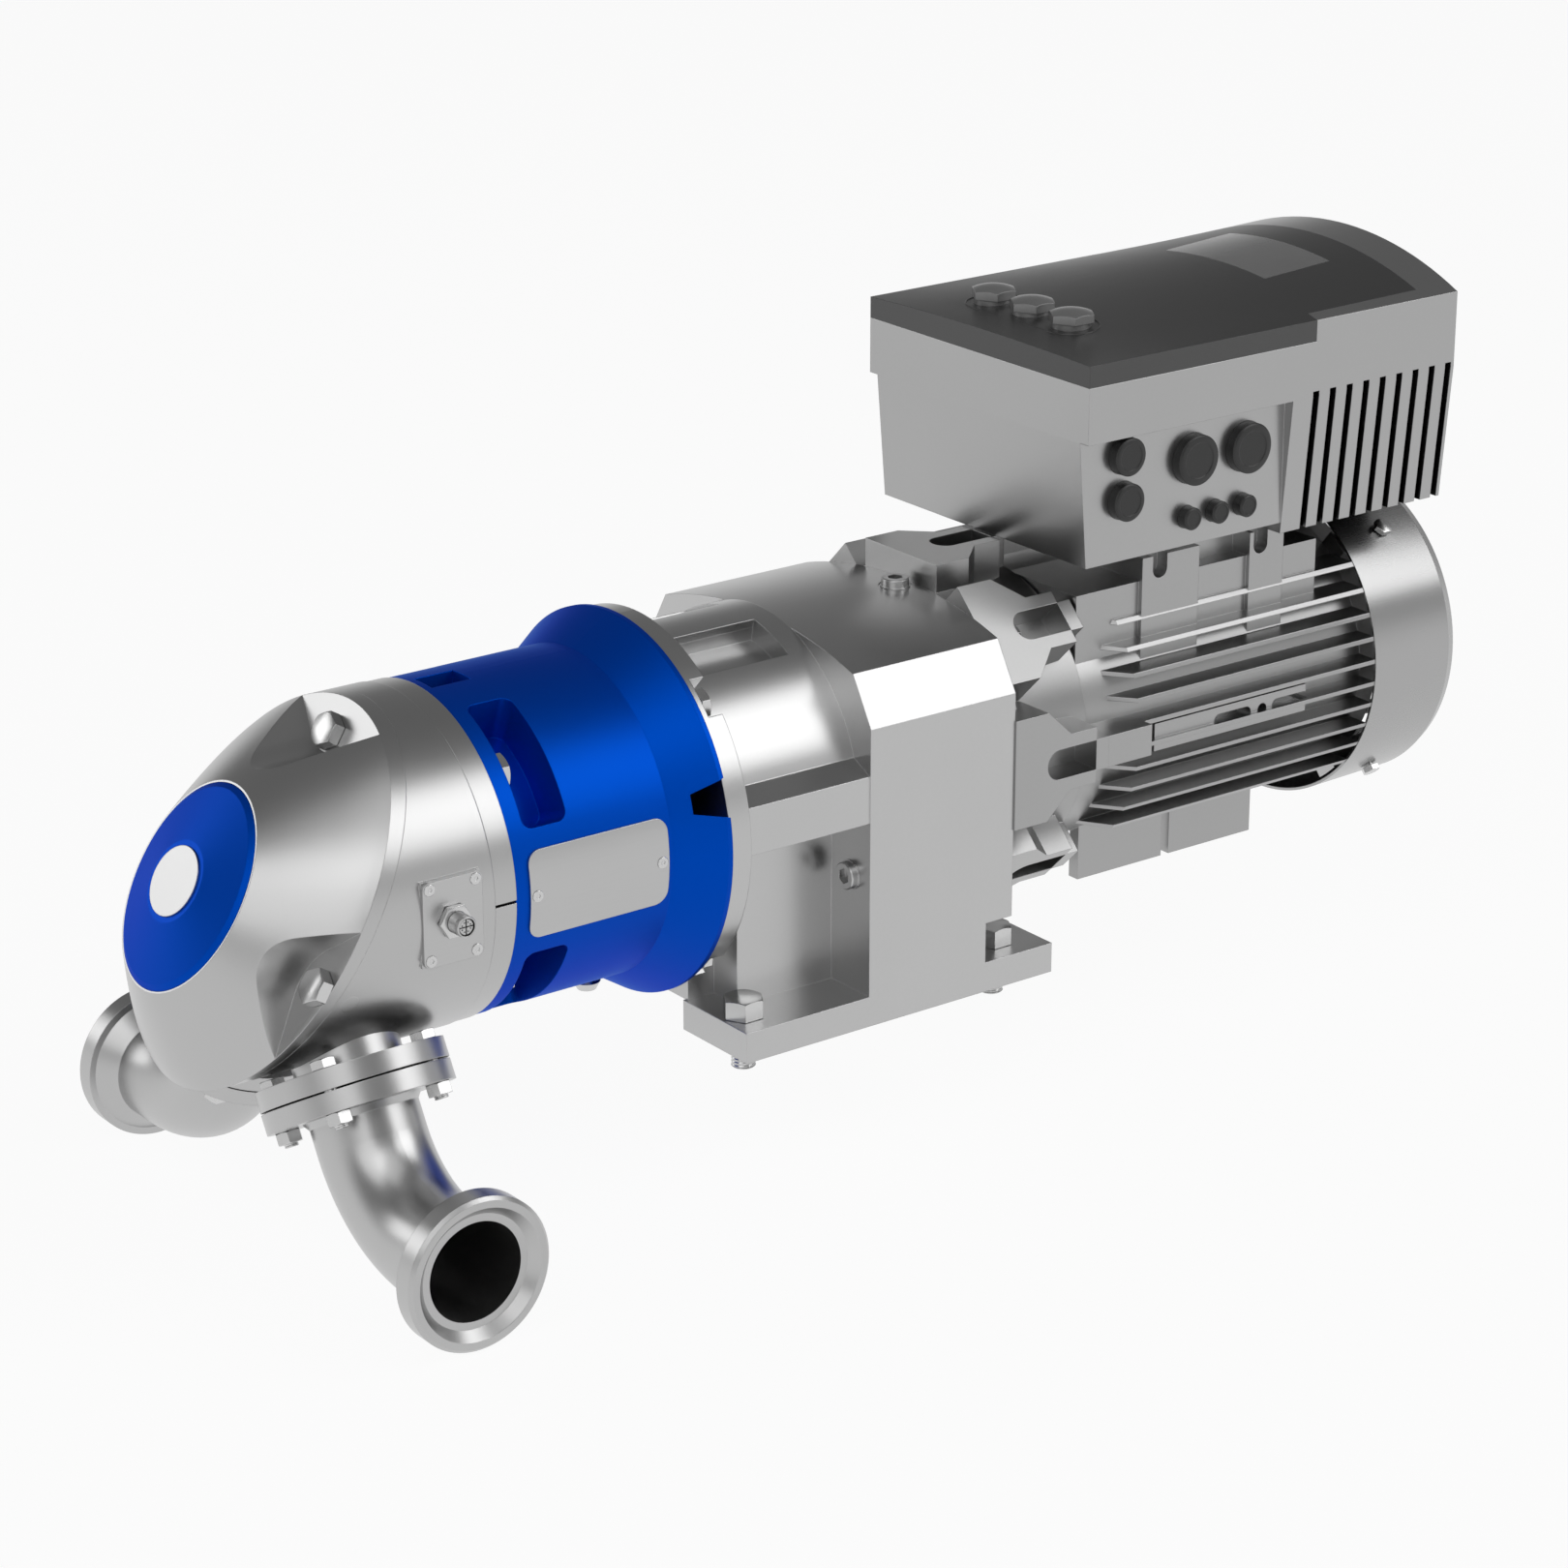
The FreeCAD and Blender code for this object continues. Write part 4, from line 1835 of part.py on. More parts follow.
def fan_cover():
    wall = size.fan_cover_wall
    bowl = turned("fan_bowl", [
        (0, size.fan_cover_radius - wall),
        (0, size.fan_cover_radius),
        (size.fan_cover_length - size.fan_cover_edge, size.fan_cover_rear_radius),
        (size.fan_cover_length - size.fan_cover_roll,
         size.fan_cover_rear_radius - size.fan_cover_roll),
        (size.fan_cover_length, size.fan_cover_rear_radius - size.fan_cover_edge),
        (size.fan_cover_length, 0),
        (size.fan_cover_length - wall, 0),
        (size.fan_cover_length - wall, size.fan_cover_rear_radius - size.fan_cover_edge),
        (size.fan_cover_length - size.fan_cover_edge, size.fan_cover_rear_radius - wall),
    ], (fan_x, 0, shaft_z))
    back_x = fan_x + size.fan_cover_length - wall
    step = size.grille_radius / (size.grille_rings + 1)
    gaps = []
    for index in range(count("grille_rings")):
        outer = size.grille_radius - step * index
        gaps.append(ring(f"grille_gap_{index}", outer, outer - size.grille_gap, wall,
                         (back_x, 0, shaft_z)))
    spokes = []
    for index in range(4):
        spoke = box(f"grille_spoke_{index}", (wall, size.grille_gap, size.grille_radius * 2),
                    (0, -size.grille_gap / 2, -size.grille_radius))
        spokes.append(tilt(group(f"grille_spoke_place_{index}", [spoke]), (back_x, 0, shaft_z),
                           Vector(1, 0, 0), size.grille_spoke_angle * index))
    openings = cut("grille_openings", group("grille_gaps", gaps), *spokes)
    reach = size.fan_cover_radius - size.shield_boss_floor
    node("fan_cover", cut("fan_cowl", bowl, openings,
                          *cover_screw_rods("cowl_hole", size.shield_boss_floor, reach)))
    screws = []
    for index, angle in enumerate(four_places(size.cover_screw_angle)):
        head = hexagon(f"cowl_screw_head_{index}", size.cover_screw_flats,
                       size.cover_screw_head, (0, 0, size.fan_cover_radius), "z")
        pin = rod(f"cowl_screw_pin_{index}", size.cover_screw_radius, reach,
                  (0, 0, size.shield_boss_floor), "z")
        screws.append(tilt(fuse(f"cowl_screw_{index}", head, pin),
                           (fan_x + size.cover_screw_setback, 0, shaft_z), Vector(1, 0, 0),
                           90 - angle))
    node("fan_cover_screws", group("cowl_screws", screws))


def domed_outline(name, rise, x):
    """A flat-bottomed outline across the inverter with an arched top, at a station."""
    sketch = doc.addObject("Sketcher::SketchObject", name)
    half = float(size.inverter_half)
    low = float(shaft_z + size.inverter_seam)
    high = float(shaft_z + size.inverter_side_top)
    lift = float(rise)
    radius = (half * half + lift * lift) / (2 * lift)
    middle = Vector(0, high + lift - radius, 0)
    lean = math.asin(half / radius)
    corners = [Vector(-half, high, 0), Vector(-half, low, 0), Vector(half, low, 0),
               Vector(half, high, 0)]
    for here, there in zip(corners, corners[1:]):
        sketch.addGeometry(Part.LineSegment(here, there), False)
    arch = Part.ArcOfCircle(Part.Circle(middle, Vector(0, 0, 1), radius), math.pi / 2 - lean,
                            math.pi / 2 + lean)
    sketch.addGeometry(arch, False)
    ends = [(0, 2, 1, 1), (1, 2, 2, 1), (2, 2, 3, 1), (3, 2, 0, 1)]
    for end in ends:
        sketch.addConstraint(Sketcher.Constraint("Coincident", *end))
    corner_ends = [(0, 1), (0, 2), (1, 2), (2, 2)]
    half_text = size.inverter_half.text
    low_text = (shaft_z + size.inverter_seam).text
    high_text = (shaft_z + size.inverter_side_top).text
    texts = [(f"-{half_text}", high_text), (f"-{half_text}", low_text), (half_text, low_text),
             (half_text, high_text)]
    for (line, end), corner, (across, up) in zip(corner_ends, corners, texts):
        held = sketch.addConstraint(Sketcher.Constraint("DistanceX", -1, 1, line, end, corner.x))
        sketch.setExpression(f"Constraints[{held}]", across)
        held = sketch.addConstraint(Sketcher.Constraint("DistanceY", -1, 1, line, end, corner.y))
        sketch.setExpression(f"Constraints[{held}]", up)
    held = sketch.addConstraint(Sketcher.Constraint("Radius", 3, radius))
    sketch.setExpression(f"Constraints[{held}]",
                         ((size.inverter_half * size.inverter_half + rise * rise)
                          / (2 * rise)).text)
    return place(sketch, (x, 0, 0), Rotation(Vector(1, 1, 1), 120))


def crown():
    """The inverter above its seam: flat across at the front, arched at the rear."""
    form = doc.addObject("Part::Loft", "crown_form")
    form.Sections = [domed_outline("crown_front", size.crown_front_rise, inverter_x),
                     domed_outline("crown_rear", size.inverter_peak - size.inverter_side_top,
                                   inverter_x + size.inverter_length)]
    form.Solid = True
    form.Ruled = True
    return form


def lid_room(name):
    """The room of the dark lid: full width at the front, inset at the rear."""
    tall = size.inverter_peak - size.inverter_seam
    half = size.inverter_half
    base = shaft_z + size.inverter_seam
    front = box(f"{name}_front", (size.lid_step, half * 2, tall), (inverter_x, -half, base))
    narrow = half - size.lid_inset
    rear = box(f"{name}_rear", (size.lid_length, narrow * 2, tall),
               (inverter_x, -narrow, base))
    return fuse(name, front, rear)


def inverter_slots(side):
    """The upright cooling slots of one side, open at the bottom."""
    slots = []
    face = size.inverter_half
    for index in range(count("slot_count")):
        low = -face if side < 0 else face - size.slot_depth
        slots.append(box(f"slot_{side}_{index}",
                         (size.slot_width, size.slot_depth,
                          size.slot_top - size.inverter_skirt),
                         (inverter_x + size.slot_first + size.slot_pitch * index, low,
                          shaft_z + size.inverter_skirt)))
    return slots


def inverter_housing():
    low = size.inverter_low_half
    half = size.inverter_half
    bottom = shaft_z + size.inverter_skirt
    walls = padded("inverter_walls", "YZ_Plane", [
        (-low, bottom),
        (low, bottom),
        (half, shaft_z + size.gland_recess_top),
        (half, shaft_z + size.inverter_seam),
        (-half, shaft_z + size.inverter_seam),
        (-half, shaft_z + size.gland_recess_top),
    ], size.inverter_length, (inverter_x, 0, 0))
    lean = padded("inverter_lean", "XZ_Plane", [
        (0, bottom),
        (size.inverter_lean, bottom),
        (0, shaft_z + size.gland_recess_top),
    ], half * 2, (inverter_x, half, 0))
    rise = size.inverter_bottom - size.inverter_skirt
    step = box("inverter_step", (size.gland_recess_length, half * 2, rise),
               (inverter_x, -half, bottom))
    tall = size.gland_recess_top - size.inverter_skirt
    depth = half - size.gland_face
    recess = box("gland_recess", (size.gland_recess_length, depth, tall),
                 (inverter_x, -half, bottom))
    far_recess = box("gland_recess_far", (size.gland_recess_length, depth, tall),
                     (inverter_x, half - depth, bottom))
    solid = fuse("inverter_solid", walls, cut("crown_rear_part", crown(), lid_room("lid_seat")))
    wall = size.inverter_wall
    room_half = size.gland_face - wall - size.slot_depth
    room_base = shaft_z + size.inverter_bottom + size.inverter_floor
    room = box("inverter_room", (size.inverter_length - wall * 6, room_half * 2,
                                 size.inverter_seam - size.inverter_bottom
                                 - size.inverter_floor),
               (inverter_x + wall * 3, -room_half, room_base))
    holes = [rod(f"gland_hole_{index}", radius, wall, (x, wall - size.gland_face, z), "-y")
             for index, (x, z, radius) in enumerate(gland_places())]
    slots = inverter_slots(-1) + inverter_slots(1)
    node("inverter_housing", cut("inverter_box", solid, lean, step, recess, far_recess, room,
                                 *holes, *slots))


def inverter_lid():
    lid = common("lid_form", doc.getObject("crown_form"), lid_room("lid_space"))
    holes = [rod(f"lid_cap_hole_{index}", size.lid_cap_radius / 2,
                 size.lid_cap_stem + size.lid_cap_height, (x, y, z - size.lid_cap_stem), "z")
             for index, (x, y, z) in enumerate(lid_cap_places())]
    pane_room = box("pane_room", (size.window_length, size.window_width, size.inverter_peak),
                    (inverter_x + size.window_setback, -size.window_width / 2,
                     shaft_z + size.inverter_seam))
    lowered = place(group("lowered_crown", [doc.getObject("crown_form")]),
                    (0, 0, -size.window_thickness))
    pane = cut("pane", common("pane_form", lid, pane_room), lowered)
    node("inverter_window", pane)
    node("inverter_lid", cut("lid", lid, pane, *holes))


def lid_cap_places():
    """Feet of the three caps on the lid's front part."""
    places = []
    for index in range(3):
        y = size.cap_row_pitch * (1 - index) + size.cap_row_shift
        x = inverter_x + size.cap_row_setback + size.cap_row_skew * (1 - index)
        places.append((x, y, shaft_z + size.lid_cap_base))
    return places


def lid_caps():
    caps = []
    for index, (x, y, z) in enumerate(lid_cap_places()):
        drum = rod(f"lid_cap_drum_{index}", size.lid_cap_radius, size.lid_cap_height, (x, y, z),
                   "z")
        head = hexagon(f"lid_cap_hexagon_{index}", size.lid_cap_flats, size.lid_cap_head,
                       (x, y, z + size.lid_cap_height), "z")
        dome_radius = ((size.lid_cap_flats * size.lid_cap_flats / 4
                        + size.lid_cap_dome * size.lid_cap_dome) / size.lid_cap_dome / 2)
        dome = ball(f"lid_cap_ball_{index}", dome_radius,
                    (x, y, z + size.lid_cap_height + size.lid_cap_head - dome_radius))
        top = common(f"lid_cap_top_{index}", head, dome)
        stem = rod(f"lid_cap_stem_{index}", size.lid_cap_radius / 2, size.lid_cap_stem,
                   (x, y, z - size.lid_cap_stem), "z")
        caps.append(fuse(f"lid_cap_{index}", drum, top, stem))
    node("lid_caps", cut("lid_cap_set", group("lid_cap_group", caps), doc.getObject("lid")))


def gland_places():
    """The x, z and hole radius of the seven gland openings."""
    return [
        (ring_x + size.gland_first, shaft_z + size.gland_row_high, size.medium_plug_radius),
        (ring_x + size.gland_first, shaft_z + size.gland_row_low, size.medium_plug_radius),
        (ring_x + size.gland_large, shaft_z + size.gland_row_large, size.large_plug_radius),
        (ring_x + size.gland_large + size.gland_large_pitch, shaft_z + size.gland_row_large,
         size.large_plug_radius),
        (ring_x + size.gland_small, shaft_z + size.gland_row_small, size.small_plug_radius),
        (ring_x + size.gland_small + size.gland_small_pitch, shaft_z + size.gland_row_small,
         size.small_plug_radius),
        (ring_x + size.gland_small + size.gland_small_pitch * 2,
         shaft_z + size.gland_row_small, size.small_plug_radius),
    ]


def gland_plugs():
    plugs = [rod(f"gland_plug_{index}", radius, size.plug_height + size.inverter_wall,
                 (x, size.inverter_wall - size.gland_face, z), "-y")
             for index, (x, z, radius) in enumerate(gland_places())]
    node("gland_plugs", group("gland_plug_set", plugs))


def mounting_block():
    high = size.inverter_bottom - size.motor_post_top
    node("inverter_mounting_block", box("mounting_block", (size.block_length,
                                                           size.motor_saddle_half * 2, high),
                                        (ring_x + size.first_post, -size.motor_saddle_half,
                                         shaft_z + size.motor_post_top)))


for build in (pump_head_casing, front_cover, cover_fasteners, front_cap, wobble_plate,
              crank_bearings, barrier_plate, hub_seat, pump_shaft, bearing_carrier,
              pump_bearings, clamp_ring, lantern, lantern_bolts, lantern_drain_plug, nameplate,
              plate_screws, sensor_group, elbows, port_joint, jaw_coupling, mounting_ring,
              ring_bolts, gearbox_housing, gearbox_plugs, foot_bolts, gear_train,
              gearbox_bearings, motor_adapter, motor_frame, motor_inside, rear_end_shield, fan,
              fan_cover, inverter_housing, inverter_lid, lid_caps, gland_plugs,
              mounting_block):
    build()
doc.recompute()

for thing in doc.Objects:
    if "Invalid" in thing.State or "Error" in thing.State:
        raise RuntimeError(f"{thing.Name} has not been computed")
for thing in nodes:
    if thing.Shape.isNull() or not thing.Shape.isValid():
        raise RuntimeError(f"{thing.Label} has no sound shape")

os.makedirs("parts", exist_ok=True)
for thing in nodes:
    thing.Shape.exportStep(f"parts/{thing.Label}.step")
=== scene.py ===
"""Looks of the wobble-plate pump: metals, paint, plastics, small pieces, light and camera."""
import json

import bmesh
import bpy
import numpy as np
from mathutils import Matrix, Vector
from mathutils.bvhtree import BVHTree


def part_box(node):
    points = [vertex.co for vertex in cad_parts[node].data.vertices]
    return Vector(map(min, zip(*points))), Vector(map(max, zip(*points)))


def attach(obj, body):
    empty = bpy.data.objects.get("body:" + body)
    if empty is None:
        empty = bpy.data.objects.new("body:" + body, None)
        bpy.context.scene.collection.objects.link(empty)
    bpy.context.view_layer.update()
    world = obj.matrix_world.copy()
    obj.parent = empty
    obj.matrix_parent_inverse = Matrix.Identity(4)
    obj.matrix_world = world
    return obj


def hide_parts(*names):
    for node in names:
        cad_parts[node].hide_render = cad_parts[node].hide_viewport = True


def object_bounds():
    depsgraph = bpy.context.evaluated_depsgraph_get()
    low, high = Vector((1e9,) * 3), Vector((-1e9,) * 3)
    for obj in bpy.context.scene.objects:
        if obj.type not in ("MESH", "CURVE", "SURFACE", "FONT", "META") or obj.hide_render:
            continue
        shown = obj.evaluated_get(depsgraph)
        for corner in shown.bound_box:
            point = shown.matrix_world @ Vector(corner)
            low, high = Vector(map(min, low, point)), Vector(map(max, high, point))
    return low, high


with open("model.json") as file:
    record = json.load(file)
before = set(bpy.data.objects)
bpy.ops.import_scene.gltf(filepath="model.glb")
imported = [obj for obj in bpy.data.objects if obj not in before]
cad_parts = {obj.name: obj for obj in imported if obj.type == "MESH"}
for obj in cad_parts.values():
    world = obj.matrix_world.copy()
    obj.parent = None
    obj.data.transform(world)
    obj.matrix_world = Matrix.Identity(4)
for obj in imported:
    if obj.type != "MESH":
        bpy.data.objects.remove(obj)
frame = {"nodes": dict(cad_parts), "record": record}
cad_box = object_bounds()

# Measures that the part's source has too, here in metres
SHAFT_Z = 0.128
RING_X = -0.116
HEAD_RADIUS = 0.0959
COVER_TILT = np.radians(31.2)
COVER_AXIS = (-np.cos(COVER_TILT), 0, np.sin(COVER_TILT))
INVERTER_X = RING_X + 0.2564
INVERTER_BOTTOM = 0.108
INVERTER_LOW_HALF = 0.0928
COVER_BOLT_FLATS = 0.018

# The slope of the inverter's side walls
INVERTER_LEAN = 0.0635

FRONT, REAR = (-1, 0, 0), (1, 0, 0)
NEAR, UP = (0, -1, 0), (0, 0, 1)


# Shader values

class Value:
    """A shader socket that takes part in Python arithmetic."""

    def __init__(self, tree, socket):
        self.tree = tree
        self.socket = socket

    def node(self, kind, settings=None, inputs=None, out=0):
        """A new node of the tree: its settings are set first, then its sockets."""
        made = self.tree.nodes.new(kind)
        for name, setting in (settings or {}).items():
            if name == "stops":
                for _ in setting[2:]:
                    made.color_ramp.elements.new(0.5)
                for stop, (place, shade) in zip(made.color_ramp.elements, setting):
                    stop.position = place
                    stop.color = (shade, shade, shade, 1)
            else:
                setattr(made, name, setting)
        for name, value in (inputs or {}).items():
            if isinstance(value, Value):
                self.tree.links.new(value.socket, made.inputs[name])
            else:
                made.inputs[name].default_value = value
        return Value(self.tree, made.outputs[out])

    def math(self, operation, *values):
        return self.node("ShaderNodeMath", {"operation": operation}, dict(enumerate(values)))

    def __add__(self, other):
        return self.math("ADD", self, other)

    def __sub__(self, other):
        return self.math("SUBTRACT", self, other)

    def __rsub__(self, other):
        return self.math("SUBTRACT", other, self)

    def __mul__(self, other):
        return self.math("MULTIPLY", self, other)

    def clamped(self, low, high):
        """0 at low, 1 at high, and straight between."""
        return self.node("ShaderNodeMapRange", None,
                         {"Value": self, "From Min": low, "From Max": high})

    __radd__ = __add__
    __rmul__ = __mul__


def start_finish(name):
    """A new material with its shader and the Object coordinates of its surface."""
    material = bpy.data.materials.new(name)
    material.use_nodes = True
    tree = material.node_tree
    shader = tree.nodes["Principled BSDF"]
    where = Value(tree, tree.nodes.new("ShaderNodeTexCoord").outputs["Object"])
    return material, shader, where


def connect(shader, **links):
    """Put values and links on the shader, underscores standing for spaces."""
    for name, value in links.items():
        socket = shader.inputs[name.replace("_", " ")]
        if isinstance(value, Value):
            value.tree.links.new(value.socket, socket)
        else:
            socket.default_value = value


def stretched(where, scale):
    """The coordinates scaled by an amount per axis, which stretches a pattern."""
    return where.node("ShaderNodeMapping", None, {"Vector": where, "Scale": scale})


def noise(where, scale, detail=3.0, rough=0.55):
    """A cloudy pattern between 0 and 1, finer as the scale grows."""
    return where.node("ShaderNodeTexNoise", None,
                      {"Vector": where, "Scale": scale, "Detail": detail, "Roughness": rough})


def blend(where, factor, first, second):
    """A colour between two by a factor: the Mix node's colours are 6 and 7, its result 2."""
    return where.node("ShaderNodeMix", {"data_type": "RGBA"}, {0: factor, 6: first, 7: second}, 2)


def soft_edges(where, radius):
    """The surface's direction with its edges rounded by a radius."""
    return where.node("ShaderNodeBevel", {"samples": 6}, {"Radius": radius})


def bumped(where, height, depth, edges):
    """The surface's direction with a fine relief of a height and a depth on it."""
    return where.node("ShaderNodeBump", None,
                      {"Height": height, "Distance": depth, "Strength": 1.0, "Normal": edges})


# Finishes

CLOUD_SCALE = 14.0
CLOUD_SHARE, LINE_SHARE = 0.6, 0.4
LINE_ROUGHNESS = 0.6


def metal(name, shade, rough, grain=(1, 1, 1), mottle=0.08, depth=0.00002, edge=0.0006,
          fine=900.0, colour=(1, 1, 1), metallic=1.0, shadow=None, rim=(1, 1, 1)):
    """A metal: fine grain stretched along an axis, faint mottling and rounded edges."""
    material, shader, where = start_finish(name)
    lines = noise(stretched(where, grain), fine, detail=2.0)
    cloud = noise(where, CLOUD_SCALE, detail=4.0)
    dark = [part * shade * (1 - mottle) for part in colour]
    light = [min(part * shade * (1 + mottle), 1.0) for part in colour]
    shown = blend(where, cloud * CLOUD_SHARE + lines * LINE_SHARE, (*dark, 1), (*light, 1))
    # painted shade laid over the colour, such as the black in the inverter's slots
    if shadow is not None:
        shown = shadow(where, shown)
    connect(shader, Base_Color=shown, Roughness=rough + (cloud + lines * LINE_ROUGHNESS) * mottle,
            Metallic=metallic, Specular_Tint=(*rim, 1),
            Normal=bumped(where, lines, depth, soft_edges(where, edge)))
    return material


GRAIN_SCALE, PLASTIC_CLOUD_SCALE = 700.0, 30.0
GRAIN_ROUGHNESS = 0.1
PLASTIC_EDGE = 0.0005


def plastic(name, colour, rough, grain=0.00002, coat=0.0):
    """A moulded plastic with a fine spark-eroded grain."""
    material, shader, where = start_finish(name)
    grains = noise(where, GRAIN_SCALE, rough=0.7)
    cloud = noise(where, PLASTIC_CLOUD_SCALE)
    dark = [part * 0.85 for part in colour]
    light = [min(part * 1.1 + 0.002, 1.0) for part in colour]
    connect(shader, Base_Color=blend(where, cloud, (*dark, 1), (*light, 1)),
            Roughness=rough + grains * GRAIN_ROUGHNESS, Coat_Weight=coat, Coat_Roughness=0.12,
            Normal=bumped(where, grains, grain, soft_edges(where, PLASTIC_EDGE)))
    return material


# Painted shade in the inverter's cooling slots: the band that holds them and the depths over
# which the surface turns black
SLOTS_START, SLOTS_END, SLOTS_TOP = INVERTER_X + 0.168, INVERTER_X + 0.2844, 0.1868
SLOTS_EDGE = 0.0004
SLOT_SHADE_FROM, SLOT_SHADE_TO = 0.0012, 0.0022
# the painted shade's colour, black in the slots' depths
SLOT_PAINTED_SHADE = (0.008, 0.008, 0.008, 1)


def paint_slot_shade(where, shown):
    """Painted shade: black where a surface lies inside the inverter's cooling slots, standing in
    for the shade in their depths.

    The wall's distance from the middle grows with the height, and the painted black starts at a
    depth behind the wall. A band along the shaft and up to a height holds the slots.
    """
    x, y, z = (where.node("ShaderNodeSeparateXYZ", None, {0: where}, out) for out in range(3))
    high = z - SHAFT_Z
    wall = INVERTER_LOW_HALF + (high - INVERTER_BOTTOM) * INVERTER_LEAN
    depth = (wall - y.math("ABSOLUTE", y)).clamped(SLOT_SHADE_FROM, SLOT_SHADE_TO)
    band = ((x - SLOTS_START).clamped(0.0, SLOTS_EDGE)
            * (SLOTS_END - x).clamped(0.0, SLOTS_EDGE)
            * (SLOTS_TOP - high).clamped(0.0, SLOTS_EDGE))
    return blend(where, depth * band, shown, SLOT_PAINTED_SHADE)


BLUE = (0.0, 0.13, 1.0)
FINISHES = {
    "satin_stainless": metal("satin_stainless", 0.48, 0.28, mottle=0.04, depth=0.00001),
    "light_alloy": metal("light_alloy", 0.5, 0.25, mottle=0.05, depth=0.000015, fine=600.0,
                         edge=0.0008),
    "brushed_sheet": metal("brushed_sheet", 0.5, 0.27, (0.04, 1, 1), 0.06, 0.00001),
    "machined_steel": metal("machined_steel", 0.5, 0.28, (1, 0.1, 0.1), 0.05, 0.00001),
    "bright_fastener": metal("bright_fastener", 0.6, 0.22, mottle=0.04, depth=0.00001,
                             edge=0.0004),
    "core_steel": metal("core_steel", 0.3, 0.45, (8, 0.2, 0.2), 0.1, 0.00004),
    "copper_winding": metal("copper_winding", 0.6, 0.35, mottle=0.1, depth=0.0001,
                            colour=(1, 0.45, 0.2)),
    "blue_paint": metal("blue_paint", 0.5, 0.4, mottle=0.04, depth=0.000015, edge=0.0008,
                        colour=BLUE, metallic=0.75, rim=(0.0, 0.4, 1.0)),
    "dark_lid": metal("dark_lid", 0.085, 0.3, mottle=0.05, metallic=0.6),
    "clear_cap": metal("clear_cap", 0.26, 0.25, mottle=0.05, depth=0.00001, metallic=0.5),
    "smoked_window": plastic("smoked_window", (0.16, 0.16, 0.16), 0.15, 0.0, coat=0.5),
    "black_plastic": plastic("black_plastic", (0.012, 0.012, 0.012), 0.35),
    "elastomer": plastic("elastomer", (0.02, 0.02, 0.02), 0.6),
    "white_polymer": plastic("white_polymer", (0.8, 0.8, 0.78), 0.4),
}
motor_alloy = metal("motor_alloy", 0.38, 0.27, mottle=0.06, depth=0.000015, fine=600.0)

# Nodes that don't look quite like the others of their slot
OWN_FINISHES = {
    # the inverter's alloy carries painted shade: black in the depths of its cooling slots
    "inverter_housing": metal("inverter_alloy_painted_slot_shade", 0.4, 0.25, mottle=0.05, depth=0.000015,
                              fine=600.0, edge=0.0008, shadow=paint_slot_shade),
    "motor_frame": motor_alloy,
    "motor_adapter": motor_alloy,
    "fan_cover": metal("fan_cover_sheet", 0.4, 0.24, (0.04, 1, 1), 0.04, 0.000003),
}

for part in frame["record"]["subparts"]:
    mesh = frame["nodes"][part["node"]].data
    mesh.materials.clear()
    mesh.materials.append(OWN_FINISHES.get(part["node"], FINISHES[part["material_slot"]]))


# Meshes and the points of CAD nodes

def ring_mesh(name, blocks):
    """One mesh from blocks of rings: a block is (rings, closed), rings as (m, n, 3)."""
    points, faces = [], []
    for rings, closed in blocks:
        here = len(points) + np.arange(rings.shape[0] * rings.shape[1]).reshape(rings.shape[:2])
        there = np.roll(here, -1, axis=0)
        points += rings.reshape(-1, 3).tolist()
        if not closed:
            faces += [here[0, ::-1].tolist(), here[-1].tolist()]
            here, there = here[:-1], there[:-1]
        corners = (here, np.roll(here, -1, axis=1), np.roll(there, -1, axis=1), there)
        faces += np.stack(corners, axis=-1).reshape(-1, 4).tolist()
    mesh = bpy.data.meshes.new(name)
    mesh.from_pydata(points, [], faces)
    mesh.validate()
    return mesh


def shown_object(name, data):
    """A new object of the scene, at the origin."""
    made = bpy.data.objects.new(name, data)
    bpy.context.scene.collection.objects.link(made)
    return made


def add_piece(name, mesh, slot, replaced=None, sharp=30):
    """An object from a mesh, or from blocks of rings, riding on the housing."""
    if isinstance(mesh, list):
        mesh = ring_mesh(name, mesh)
    mesh.shade_smooth()
    mesh.set_sharp_from_angle(angle=np.radians(sharp))
    mesh.materials.clear()
    mesh.materials.append(FINISHES[slot])
    piece = shown_object(name, mesh)
    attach(piece, "housing")
    if replaced:
        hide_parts(*replaced)


def mesh_points(mesh):
    """The corner points of a mesh as one array."""
    places = np.empty(len(mesh.vertices) * 3)
    mesh.vertices.foreach_get("co", places)
    return places.reshape(-1, 3)


def mesh_faces(mesh):
    """The corners of each face of a mesh."""
    return [tuple(face.vertices) for face in mesh.polygons]


def islands(name):
    """The corner points of each separate solid of a CAD node.

    Points at one place share a label. Each edge then gives both its ends the lower of their
    labels, again and again, until a whole solid has one.
    """
    mesh = frame["nodes"][name].data
    places = mesh_points(mesh)
    _, first, same = np.unique(np.round(places, 6) + 0.0, axis=0, return_index=True,
                               return_inverse=True)
    home = first[same.ravel()]
    edges = np.empty(len(mesh.edges) * 2, dtype=int)
    mesh.edges.foreach_get("vertices", edges)
    edges = home[edges].reshape(-1, 2)
    label = home.copy()
    while True:
        low = np.minimum(label[edges[:, 0]], label[edges[:, 1]])
        before = label.copy()
        np.minimum.at(label, edges[:, 0], low)
        np.minimum.at(label, edges[:, 1], low)
        label = label[label]
        if np.array_equal(before, label):
            break
    used = np.unique(home)
    return [places[used[label[used] == value]] for value in np.unique(label[used])]


ASKEW = (0.3, 0.5, 0.8)
MIDDLE_TURNS = 12
CORNER_SHARE = 0.985


